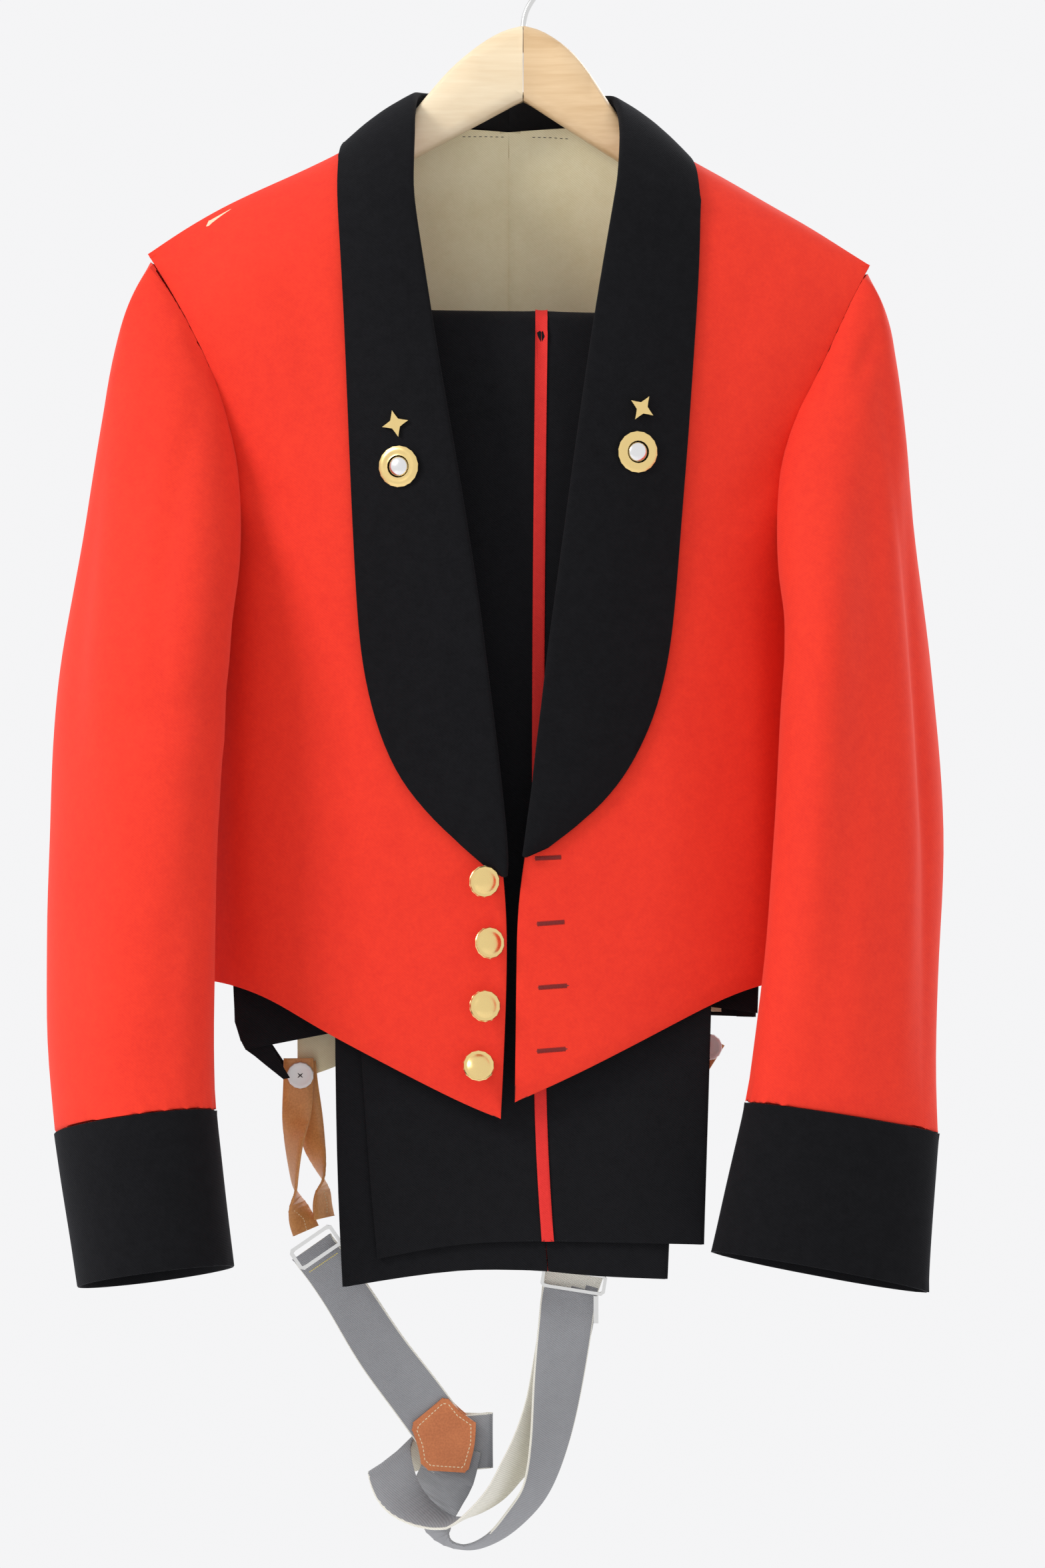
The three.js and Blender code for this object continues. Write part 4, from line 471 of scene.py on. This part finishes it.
# %% Fronts, backs and lining
BODY_FOLDS = [
    ("front", -3.2, 11, [(-186, -395), (-190, -470), (-193, -560), (-190, -640)]),
    ("front", 2.4, 14, [(-166, -400), (-170, -490), (-172, -580), (-168, -650)]),
    ("front", -1.8, 10, [(-180, -330), (-160, -352), (-136, -364)]),
    ("front", 1.6, 12, [(-176, -352), (-152, -380), (-128, -398)]),
    ("front", -2.6, 11, [(160, -395), (164, -470), (166, -560), (164, -630)]),
    ("front", 2.2, 14, [(142, -420), (146, -500), (147, -590), (142, -650)]),
    ("front", -1.6, 10, [(158, -330), (140, -354), (118, -372)]),
    ("front", 1.4, 16, [(-90, -470), (-96, -560), (-80, -650)]),
    ("front", 1.4, 16, [(86, -470), (92, -560), (78, -640)]),
    ("front", -1.4, 10, [(-26, -590), (-60, -616), (-96, -628)]),
    ("front", -1.4, 10, [(20, -580), (52, -606), (90, -618)]),
    ("front", -1.5, 13, [(-150, -205), (-128, -260), (-122, -320)]),
    ("front", -1.3, 13, [(150, -212), (126, -262), (120, -322)]),
    ("back", -3.0, 13, [(-176, -360), (-182, -460), (-184, -560), (-176, -650)]),
    ("back", 2.6, 17, [(-150, -330), (-152, -440), (-150, -560), (-142, -660)]),
    ("back", -2.2, 13, [(-112, -300), (-116, -420), (-108, -540), (-96, -664)]),
    ("back", -1.8, 12, [(-70, -150), (-98, -200), (-140, -236)]),
    ("back", 1.8, 16, [(-46, -240), (-54, -380), (-50, -520), (-40, -660)]),
    ("back", -2.8, 13, [(160, -360), (166, -450), (168, -560), (160, -650)]),
    ("back", 2.4, 16, [(136, -330), (140, -450), (138, -570), (128, -655)]),
    ("back", -2.0, 12, [(96, -320), (102, -430), (96, -560), (86, -660)]),
    ("back", -1.6, 12, [(60, -150), (88, -202), (126, -240)]),
    ("back", 1.6, 15, [(40, -260), (46, -390), (40, -520), (30, -655)]),
]
# node, piece, slot, material, flat width and length, flat area, what it rests on
BODY_PIECES = [
    ("front_left", "jacket_front_left", "scarlet_wool", scarlet, 0.235, 0.620, 0.0955, "hanger_arm_left"),
    ("front_right", "jacket_front_right", "scarlet_wool", scarlet, 0.230, 0.605, 0.0904, "hanger_arm_right"),
    ("back_left", "jacket_back_left", "scarlet_wool", scarlet, 0.235, 0.555, 0.1043, "hanger_arm_left"),
    ("back_right", "jacket_back_right", "scarlet_wool", scarlet, 0.235, 0.555, 0.1051, "hanger_arm_right"),
    ("lining_left", "jacket_lining_left", "cream_lining", satin, 0.200, 0.540, 0.0881, "hanger_arm_left"),
    ("lining_right", "jacket_lining_right", "cream_lining", satin, 0.200, 0.540, 0.0892, "hanger_arm_right"),
]


# The lining's top edge is raised to the collar, above the edge of its solid, in metres
LINING_TOP, LINING_RISE_FROM, LINING_RISE = -0.129, -0.150, 0.0065


def flat_outward(points, back):
    """Outward across a panel: towards the viewer on a front, away on a back."""
    outward = np.zeros_like(points)
    outward[:, 1] = 1 if back else -1
    return outward


for node, name, slot, material, width, length, area, rests in BODY_PIECES:
    piece = rounded_copy(node, name, material)
    points = points_of(piece)
    outward = flat_outward(points, back=not node.startswith("front"))
    points = press(points, outward, BODY_FOLDS)
    points += outward * slow_waves(points, 0.9, 3)[:, None]
    if node.startswith("lining"):
        near_top = np.clip((points[:, 2] - LINING_RISE_FROM) / (LINING_TOP - LINING_RISE_FROM), 0, 1)
        points[:, 2] += LINING_RISE * near_top
    set_points(piece, points)
    finish_piece(piece, slot, node)
print("body pieces:", len(BODY_PIECES))

# %% [markdown]
# Sleeves and cuffs
# A two-piece sleeve hangs a little forward and bends at the elbow. On the viewer's right one long
# fold runs from the sleeve head down the outside to the cuff. The sleeve head dimples at its seam.

# %% Sleeves
SLEEVE_FOLDS = {
    "left": [
        ("front", -2.8, 6, [(-200, -252), (-196, -262), (-190, -276)]),
        ("front", -2.2, 9, [(-196, -300), (-206, -352), (-214, -420), (-216, -480)]),
        ("front", 2.6, 13, [(-238, -280), (-246, -360), (-250, -450), (-246, -540)]),
        ("front", -2.4, 11, [(-262, -300), (-270, -400), (-274, -500)]),
        ("front", -2.2, 9, [(-176, -470), (-204, -486), (-238, -492)]),
        ("front", 2.0, 10, [(-178, -500), (-206, -512), (-236, -516)]),
        ("front", -1.8, 10, [(-186, -560), (-206, -620), (-212, -700)]),
        ("front", 2.0, 15, [(-240, -560), (-244, -640), (-240, -715)]),
        ("back", -3.0, 11, [(-214, -270), (-236, -350), (-246, -440)]),
        ("back", 2.6, 14, [(-250, -380), (-262, -470), (-262, -560)]),
        ("back", -2.6, 12, [(-200, -440), (-226, -500), (-252, -540)]),
        ("back", 2.2, 14, [(-210, -560), (-222, -640), (-226, -710)]),
    ],
    "right": [
        ("front", -2.6, 6, [(214, -258), (208, -270), (203, -286)]),
        ("front", -6.5, 6, [(236, -340), (239, -440), (242, -500), (245, -560), (247, -620), (250, -700)]),
        ("front", 3.8, 10, [(222, -330), (226, -430), (228, -520), (228, -620), (226, -700)]),
        ("front", -3.0, 11, [(220, -270), (212, -350), (206, -410), (197, -520), (190, -600), (176, -690)]),
        ("front", 2.2, 11, [(190, -330), (186, -430), (178, -520), (168, -620)]),
        ("front", -2.0, 9, [(164, -455), (186, -476), (208, -486)]),
        ("back", -3.0, 11, [(206, -270), (222, -350), (230, -440)]),
        ("back", 2.6, 14, [(232, -380), (240, -470), (240, -560)]),
        ("back", -2.6, 12, [(184, -440), (206, -500), (230, -540)]),
        ("back", 2.2, 14, [(170, -560), (184, -640), (190, -710)]),
    ],
}
# node stem, piece stem, slot, material, then flat width, length and area on the left and on the right
SLEEVE_PIECES = [
    ("topsleeve_", "sleeve_top_", "scarlet_wool", scarlet, (0.270, 0.560, 0.1153), (0.255, 0.555, 0.1075)),
    ("undersleeve_", "sleeve_under_", "scarlet_wool", scarlet,
     (0.125, 0.400, 0.0354), (0.125, 0.395, 0.0340)),
    ("cuff_", "sleeve_cuff_", "navy_facecloth", navy_face, (0.280, 0.113, 0.0292), (0.290, 0.113, 0.0299)),
]


def sleeve_middle(side):
    """The sleeve's middle line, as (z, x, y) rows from the cuff up, measured on the solids."""
    solids = [nodes[stem + side] for stem in ("topsleeve_", "undersleeve_", "cuff_")]
    points = np.array([v.co for solid in solids for v in solid.data.vertices])
    rows = []
    for z in np.arange(-0.83, -0.21, 0.03):
        near = points[np.abs(points[:, 2] - z) < 0.03]
        low, high = near.min(0), near.max(0)
        rows.append((z, (low[0] + high[0]) / 2, (low[1] + high[1]) / 2))
    return np.array(rows)


for side in ("left", "right"):
    middle = sleeve_middle(side)
    for stem, name, slot, material, *sizes in SLEEVE_PIECES:
        width, length, area = sizes[0] if side == "left" else sizes[1]
        piece = rounded_copy(stem + side, name + side, material)
        points = points_of(piece)
        outward = points.copy()
        outward[:, 0] -= np.interp(points[:, 2], middle[:, 0], middle[:, 1])
        outward[:, 1] -= np.interp(points[:, 2], middle[:, 0], middle[:, 2])
        outward[:, 2] = 0
        outward /= np.linalg.norm(outward, axis=1)[:, None] + 1e-9
        points = press(points, outward, SLEEVE_FOLDS[side])
        points += outward * slow_waves(points, 0.8, 5)[:, None]
        set_points(piece, points)
        finish_piece(piece, slot, stem + side)
        rests = "jacket_front_" + side if slot == "scarlet_wool" else "sleeve_top_" + side
print("sleeve pieces: 6")

# %% [markdown]
# The shawl collar
# The collar is one strip on each side, joined at the centre back. It rolls over at the neck and lies
# on the fronts down to the top button, without a notch, so its face needs only the slightest waves.

# %% Collar
for side, area in (("left", 0.0406), ("right", 0.0411)):
    piece = rounded_copy("collar_" + side, "shawl_collar_" + side, navy_face)
    points = points_of(piece)
    outward = flat_outward(points, back=False)
    points += outward * np.maximum(slow_waves(points, 0.9, 9), -0.2 * MM)[:, None]
    set_points(piece, points)
    finish_piece(piece, "navy_facecloth", "collar_" + side)
print("collar halves: 2")

# %% [markdown]
# The trousers
# They are folded on their creases, leg on leg, and laid over the hanger's bar, so both ends hang
# free. Their cloth is heavy, with only long shallow waves and one soft break above each hem.

# %% Trousers, stripes and waist facing
TROUSER_FOLDS = [
    ("front", -1.2, 14, [(-120, -640), (-96, -700), (-88, -790)]),
    ("front", 1.2, 16, [(60, -640), (72, -720), (66, -800)]),
    ("front", -1.0, 9, [(-96, -742), (-60, -750), (-20, -752)]),
]
# node, piece, slot, material, flat width, length and area
TROUSER_PIECES = [
    ("leg_near_front", "trouser_near_front", "navy_wool", navy_wool, 0.205, 1.10, 0.1984),
    ("leg_near_back", "trouser_near_back", "navy_wool", navy_wool, 0.240, 1.12, 0.2322),
    ("leg_far_front", "trouser_far_front", "navy_wool", navy_wool, 0.200, 1.12, 0.1843),
    ("leg_far_back", "trouser_far_back", "navy_wool", navy_wool, 0.245, 1.14, 0.2418),
    ("stripe_near", "trouser_stripe_near", "red_stripe", stripe_red, 0.010, 1.10, 0.0081),
    ("stripe_far", "trouser_stripe_far", "red_stripe", stripe_red, 0.010, 1.12, 0.0080),
    ("waist_facing", "trouser_waist_facing", "cream_lining", satin, 0.265, 0.060, 0.0123),
]
for node, name, slot, material, width, length, area in TROUSER_PIECES:
    piece = rounded_copy(node, name, material)
    points = points_of(piece)
    outward = flat_outward(points, back=False)
    before_bar = np.clip((-0.014 - points[:, 1]) / 0.008, 0, 1)[:, None]
    points += (press(points, outward, TROUSER_FOLDS) - points) * before_bar
    set_points(piece, points)
    finish_piece(piece, slot, node)
print("trouser pieces:", len(TROUSER_PIECES))

# %% [markdown]
# Closing the seams
# Most solids stand a hair apart where pieces are sewn. Real seams touch, so the cut edges are drawn
# together here, and the sleeve heads are drawn in to the armholes. The solids of the left shoulder
# stand about 12 mm apart in depth, so those two panels are first eased towards each other.

# %% Seams drawn together
RIM_TURN = 0.6  # cosine of the angle between two faces from which their edge is a cut edge


def rim_places(piece):
    """The places of a piece's cut edges, where two neighbouring faces turn sharply."""
    mesh = piece.data
    faces_at = {}
    for face in mesh.polygons:
        for edge in face.edge_keys:
            faces_at.setdefault(edge, []).append(face.normal)
    sharp = [edge for edge, pair in faces_at.items() if len(pair) == 2 and pair[0].dot(pair[1]) < RIM_TURN]
    rim = {corner for edge in sharp for corner in edge}
    return [mesh.vertices[i].co.copy() for i in rim]


def tree_of(places):
    tree = KDTree(len(places))
    for index, place in enumerate(places):
        tree.insert(place, index)
    tree.balance()
    return tree


def draw_to(piece, others, reach, share):
    """Draws a piece towards its neighbours' cut edges, most at the seam and not at all reach mm away."""
    tree = tree_of([place for other in others for place in rim_places(other)])
    for vertex in piece.data.vertices:
        target, _, away = tree.find(vertex.co)
        if away < reach * MM:
            vertex.co += (target - vertex.co) * share * (1 - (away / (reach * MM)) ** 2)


SEAM_FADE = 14  # mm over which a piece follows its shifted cut edge


def sew(first, second, reach):
    """Brings two cut edges to meet halfway where they are less than reach mm apart."""
    pieces = [bpy.data.objects[first], bpy.data.objects[second]]
    rims = [rim_places(piece) for piece in pieces]
    trees = [tree_of(rim) for rim in rims]
    shifts = []
    for rim, other in zip(rims, reversed(trees)):
        found = []
        for place in rim:
            target, _, away = other.find(place)
            closing = max(0, 1 - (away / (reach * MM)) ** 4)
            found.append((target - place) * 0.5 * closing)
        shifts.append(found)
    for piece, tree, found in zip(pieces, trees, shifts):
        for vertex in piece.data.vertices:
            _, index, away = tree.find(vertex.co)
            vertex.co += found[index] * max(0, 1 - away / (SEAM_FADE * MM))


# The left shoulder seam: x, its height z and how far front and back move to meet in depth, in mm
LEFT_SHOULDER = np.array([
    (-230, -203, 4.0), (-212, -193.5, 4.8), (-197, -184.5, 6.0), (-181, -174.7, 6.3), (-160, -164.8, 6.5),
    (-139, -155, 6.2), (-117, -144.3, 5.5), (-100, -134, 3.1), (-85, -128, 0),
])
SHOULDER_EASE = 60  # mm below the seam over which the panels are eased
for name, way in (("jacket_front_left", 1), ("jacket_back_left", -1)):
    piece = bpy.data.objects[name]
    points = points_of(piece)
    x, z = points[:, 0] / MM, points[:, 2] / MM
    below = np.interp(x, LEFT_SHOULDER[:, 0], LEFT_SHOULDER[:, 1]) - z
    share = np.clip(1 - below / SHOULDER_EASE, 0, 1)
    share = share * share * (3 - 2 * share)
    points[:, 1] += way * MM * share * np.interp(x, LEFT_SHOULDER[:, 0], LEFT_SHOULDER[:, 2])
    set_points(piece, points)

# How near two pieces must be to be drawn together, in mm
MIDDLE_REACH = 4
PANEL_REACH = 12
SLEEVE_SEAM_REACH = 5
ARMHOLE_REACH = 7
CUFF_REACH = 3
# How much of the way a point on the seam is drawn
ARMHOLE_SHARE = 1.1
CUFF_SHARE = 0.9
sew("jacket_back_left", "jacket_back_right", MIDDLE_REACH)
sew("jacket_lining_left", "jacket_lining_right", MIDDLE_REACH)
sew("shawl_collar_left", "shawl_collar_right", MIDDLE_REACH)
for side in ("left", "right"):
    sew("jacket_front_" + side, "jacket_back_" + side, PANEL_REACH)
    sew("sleeve_top_" + side, "sleeve_under_" + side, SLEEVE_SEAM_REACH)
    body = [bpy.data.objects["jacket_front_" + side], bpy.data.objects["jacket_back_" + side]]
    for stem in ("sleeve_top_", "sleeve_under_"):
        draw_to(bpy.data.objects[stem + side], body, ARMHOLE_REACH, ARMHOLE_SHARE)
    cuff = bpy.data.objects["sleeve_cuff_" + side]
    draw_to(bpy.data.objects["sleeve_top_" + side], [cuff], CUFF_REACH, CUFF_SHARE)
print("left shoulder eased, cut edges drawn together")

# %% [markdown]
# The hanger
# Two arms are glued at the middle, and a steel hook goes into their joint. The arms are rounded like
# the real ones, which are shaped on a spindle moulder, and the bar is a plain dowel.

# %% Hanger
# node, piece, slot, material, subdivision levels, angle from which an edge stays sharp
FITTINGS = [
    # the left arm takes the wood with the painted highlight
    ("hanger_arm_left", "hanger_arm_left_wood", "pale_wood", wood_with_painted_highlight, 1, 50),
    ("hanger_arm_right", "hanger_arm_right_wood", "pale_wood", wood, 1, 50),
    ("hanger_bar", "hanger_bar_wood", "pale_wood", wood, 1, 60),
    ("hanger_hook", "hanger_hook_wire", "bright_steel", steel, 1, 60),
]
for node, name, slot, material, levels, sharp in FITTINGS:
    finish_piece(rounded_copy(node, name, material, levels, sharp), slot, node)
print("hanger pieces:", len(FITTINGS))

# %% [markdown]
# The braces
# Two straps of grey elastic webbing with a cream reverse meet under a stitched leather patch. Behind,
# one short strap ends in a metal loop with two leather tails, which button inside the waist.

# %% Straps with a grey face and a cream reverse
# node, flat width, length and area, a place on the strap and the way its grey face looks there
STRAPS = [
    ("strap_back", 0.0335, 0.150, 0.0047, (-90, 5, -870), (0, -1, 0)),
    ("strap_outer", 0.0345, 0.430, 0.0141, (20, 5, -890), (0, -1, 0)),
    ("strap_fold", 0.0345, 0.080, 0.0024, (-40, 3, -934), (0, -1, 0)),
    ("strap_inner", 0.0345, 0.400, 0.0129, (-12, 0, -945), (0, 1, 0)),
]
# Two places on the outer strap are coloured by given regions, against the side that its solid turns there
CREAM_ABOVE = -0.8375  # height in metres, inside the adjuster's frame
GREY_LEFT_OF = -0.020  # x in metres, on the start of the strap under the patch
# The solid of the back strap ends at the metal loop's lower bar, so its end is drawn up through the loop
LOOP_BAR = (-125, -819)  # x and z in mm
LOOP_WAY = (-0.62, 0.786)
LOOP_REACH = 12  # mm
LOOP_FROM = 8  # mm below the bar


def thread_through_loop(piece):
    """Draws the end of the back strap up to the loop's top bar."""
    points = points_of(piece)
    way = np.array([LOOP_WAY[0], 0, LOOP_WAY[1]])
    from_bar = (points[:, [0, 2]] / MM - LOOP_BAR) @ np.array(LOOP_WAY)
    share = np.clip((from_bar + LOOP_FROM) / LOOP_FROM, 0, 1)
    set_points(piece, points + (share * LOOP_REACH * MM)[:, None] * way)


for node, width, length, area, seed, facing in STRAPS:
    reverse = (seed, facing, webbing_back)
    piece = rounded_copy(node, "brace_" + node, webbing, FINE, 50, 0.95, reverse)
    for face in piece.data.polygons:
        x, _, z = face.center
        if node == "strap_outer" and z > CREAM_ABOVE:
            face.material_index = 1
        if node == "strap_outer" and x < GREY_LEFT_OF and face.normal.y < -0.1:
            face.material_index = 0
    if node == "strap_back":
        thread_through_loop(piece)
    finish_piece(piece, "grey_webbing", node)
print("straps:", len(STRAPS))

# %% Leather, metal and buttons
FITTINGS = [
    ("patch_front", "brace_patch_front", "tan_leather", patch_tan, 2, 50),
    ("patch_back", "brace_patch_back", "tan_leather", patch_tan, 2, 50),
    ("tail_front", "brace_tail_front", "tan_leather", tan, 2, 50),
    ("tail_back", "brace_tail_back", "tan_leather", tan, 2, 50),
    ("tab_outer", "brace_tab_outer", "tan_leather", tan, 1, 50),
    ("tab_inner", "brace_tab_inner", "tan_leather", tan, 1, 50),
    ("fork_loop", "brace_fork_loop", "bright_steel", steel, 1, 40),
    ("adjuster_outer", "brace_adjuster_outer", "bright_steel", steel, 1, 40),
    ("adjuster_inner", "brace_adjuster_inner", "bright_steel", steel, 1, 40),
    ("adjuster_lever_outer", "brace_lever_outer", "bright_steel", steel, 2, 40),
    ("adjuster_lever_inner", "brace_lever_inner", "bright_steel", steel, 2, 40),
    ("brace_button_back", "white_button_back", "white_plastic", plastic, 1, 50),
    ("brace_button_outer", "white_button_outer", "white_plastic", plastic, 1, 50),
    ("brace_button_inner", "white_button_inner", "white_plastic", plastic, 1, 50),
]
FITTINGS += [(f"button_{i}", f"gilt_button_{i}", "gilt_brass", gilt, 2, 50) for i in (1, 2, 3, 4)]
for side in ("left", "right"):
    FITTINGS += [
        ("badge_star_" + side, "lapel_star_" + side, "gilt_brass", gilt, 1, 40),
        ("badge_ring_" + side, "lapel_ring_" + side, "gilt_brass", gilt, 1, 50),
        ("badge_dome_" + side, "lapel_dome_" + side, "silver_dome", silver, 2, 50),
    ]
for node, name, slot, material, levels, sharp in FITTINGS:
    finish_piece(rounded_copy(node, name, material, levels, sharp), slot, node)
print("fittings:", len(FITTINGS))

# %% [markdown]
# Stitching and buttonholes
# A stitch is a short length of thread that dips into the cloth at both ends. One is made from a ball,
# which each copy stretches and lays on the piece below it. The buttonholes are worked with close
# stitches across a slit. Their red thread is darkened with painted shade, and the slit is a row of
# dark stitches, painted shade in the cut. Only stitches that can be seen from the front are made.

# %% Stitches
# Dark thread for the real stitches; in the buttonhole slits the same dark is painted shade
dark_thread_and_slit_shade = plain_material("dark_thread_and_slit_shade", (0.05, 0.045, 0.04), 0.8)
cream_thread = plain_material("cream_thread", (0.80, 0.68, 0.45), 0.7)
yellow_thread = plain_material("yellow_thread", (0.75, 0.62, 0.16), 0.7)
# Red buttonhole thread, its colour darkened with painted shade
hole_thread_and_painted_shade = plain_material("buttonhole_red_with_painted_shade", (0.20, 0.010, 0.008), 0.8)
for thread in (dark_thread_and_slit_shade, cream_thread, yellow_thread, hole_thread_and_painted_shade):
    tree = thread.node_tree
    twist = tree.nodes.new("ShaderNodeBump")
    twist.inputs["Strength"].default_value = 0.4
    twist.inputs["Distance"].default_value = 0.0001
    tree.links.new(bands(tree, object_place(tree, turn=(0, 40, 0)), 0.0004), twist.inputs["Height"])
    tree.links.new(twist.outputs["Normal"], tree.nodes["Principled BSDF"].inputs["Normal"])

bpy.ops.mesh.primitive_uv_sphere_add(segments=8, ring_count=6, radius=0.5)
one_stitch = bpy.context.object
one_stitch.name = "one_stitch"
bpy.ops.object.mode_set(mode="EDIT")
bpy.ops.mesh.select_all(action="SELECT")
bpy.ops.transform.rotate(value=math.radians(90), orient_axis="Y", center_override=(0, 0, 0))
bpy.ops.object.mode_set(mode="OBJECT")
bpy.ops.object.shade_smooth()
one_stitch.select_set(False)


def along_line(line, spacing):
    """Places and directions every spacing mm along a line of (x, z) in mm."""
    line = np.array(line, float)
    lengths = np.linalg.norm(np.diff(line, axis=0), axis=1)
    run = np.concatenate([[0], np.cumsum(lengths)])
    at = np.arange(spacing / 2, run[-1], spacing)
    places = np.stack([np.interp(at, run, line[:, i]) for i in (0, 1)], axis=1)
    ahead = np.stack([np.interp(at + 0.1, run, line[:, i]) for i in (0, 1)], axis=1)
    return places, ahead - places


def stitch_row(name, slot, thread, onto, line, spacing, length, width, across=False):
    """A row of stitches on the front of a piece. With across set, each lies across the line."""
    surface = BVHTree.FromObject(bpy.data.objects[onto], bpy.context.evaluated_depsgraph_get())
    copies = []
    for (x, z), (dx, dz) in zip(*along_line(line, spacing)):
        place, normal, _, _ = surface.ray_cast(Vector((x * MM, -1, z * MM)), Vector((0, 1, 0)))
        if place is None:
            place, normal, _, _ = surface.find_nearest(Vector((x * MM, -0.02, z * MM)))
        run = Vector((dx, 0, dz)) if not across else Vector((-dz, 0, dx))
        run = (run - run.dot(normal) * normal).normalized()
        side = normal.cross(run)
        turn = Matrix((run * length, side * width, normal * width * 0.8)).transposed() * MM
        stitch = bpy.data.objects.new(name, one_stitch.data.copy())
        stitch.data.transform(Matrix.Translation(place) @ turn.to_4x4())
        bpy.context.scene.collection.objects.link(stitch)
        copies.append(stitch)
    for stitch in copies:
        stitch.select_set(True)
    bpy.context.view_layer.objects.active = copies[0]
    bpy.ops.object.join()
    row = copies[0]
    row.data.materials.append(thread)
    row.select_set(False)
    finish_piece(row, slot)
    return len(copies)


# Lines of (x, z) in mm
PATCH_LINE = [
    (-46, -909), (-40.5, -916), (-32, -922), (-32.2, -933), (-36, -946.3), (-37.6, -948), (-56.7, -946.8),
    (-60.3, -943.3), (-61.6, -934.6), (-65, -925.6), (-64.4, -922.6), (-49.3, -908.8), (-46, -909),
]
BUTTONHOLES = [
    [(7.2, -573.4), (22.8, -572.6)],
    [(8.4, -612.8), (24.8, -611.6)],
    [(9.2, -651.2), (26.4, -650)],
    [(8.4, -689.6), (25.6, -688.2)],
]
# name, slot, thread, piece below, line of (x, z) in mm, spacing, length, width, across
ROWS = [
    ("stitch_lining_left", "cream_lining", dark_thread_and_slit_shade, "jacket_lining_left",
     [(-38.4, -127.6), (-24, -127.2), (-11, -127.4)], 3.4, 2.0, 0.5, False),
    ("stitch_lining_right", "cream_lining", dark_thread_and_slit_shade, "jacket_lining_right",
     [(4.9, -127.6), (18, -128), (29.7, -129)], 3.4, 2.0, 0.5, False),
    ("stitch_patch", "tan_leather", cream_thread, "brace_patch_front", PATCH_LINE, 2.5, 1.8, 0.6, False),
    ("stitch_fork", "grey_webbing", yellow_thread, "brace_strap_back",
     [(-132, -829.5), (-114, -816.5)], 1.5, 1.5, 0.6, False),
    ("stitch_tail_front", "tan_leather", cream_thread, "brace_tail_front",
     [(-141, -790), (-135, -796), (-133, -803)], 1.8, 1.2, 0.5, False),
    ("stitch_tail_back", "tan_leather", cream_thread, "brace_tail_back",
     [(-123, -779), (-121, -787), (-121, -794)], 1.8, 1.2, 0.5, False),
    ("stitch_button_across", "white_plastic", dark_thread_and_slit_shade, "white_button_back",
     [(-138.6, -709), (-135, -705.8)], 4.8, 4.4, 0.8, False),
    ("stitch_button_down", "white_plastic", dark_thread_and_slit_shade, "white_button_back",
     [(-138.6, -705.8), (-135, -709)], 4.8, 4.4, 0.8, False),
]
for number, line in enumerate(BUTTONHOLES, 1):
    # the buttonhole stitches, in red thread darkened with painted shade
    ROWS.append((f"buttonhole_{number}", "scarlet_wool", hole_thread_and_painted_shade, "jacket_front_right",
                 line, 0.75, 3.2, 0.9, True))
    # the slit: a row of dark stitches, painted shade in the cut
    ROWS.append((f"buttonhole_slit_{number}", "scarlet_wool", dark_thread_and_slit_shade, "jacket_front_right",
                 line, 3.0, 4.2, 0.7, False))
for row in ROWS:
    print(row[0], stitch_row(*row), "stitches")
bpy.data.objects.remove(one_stitch)
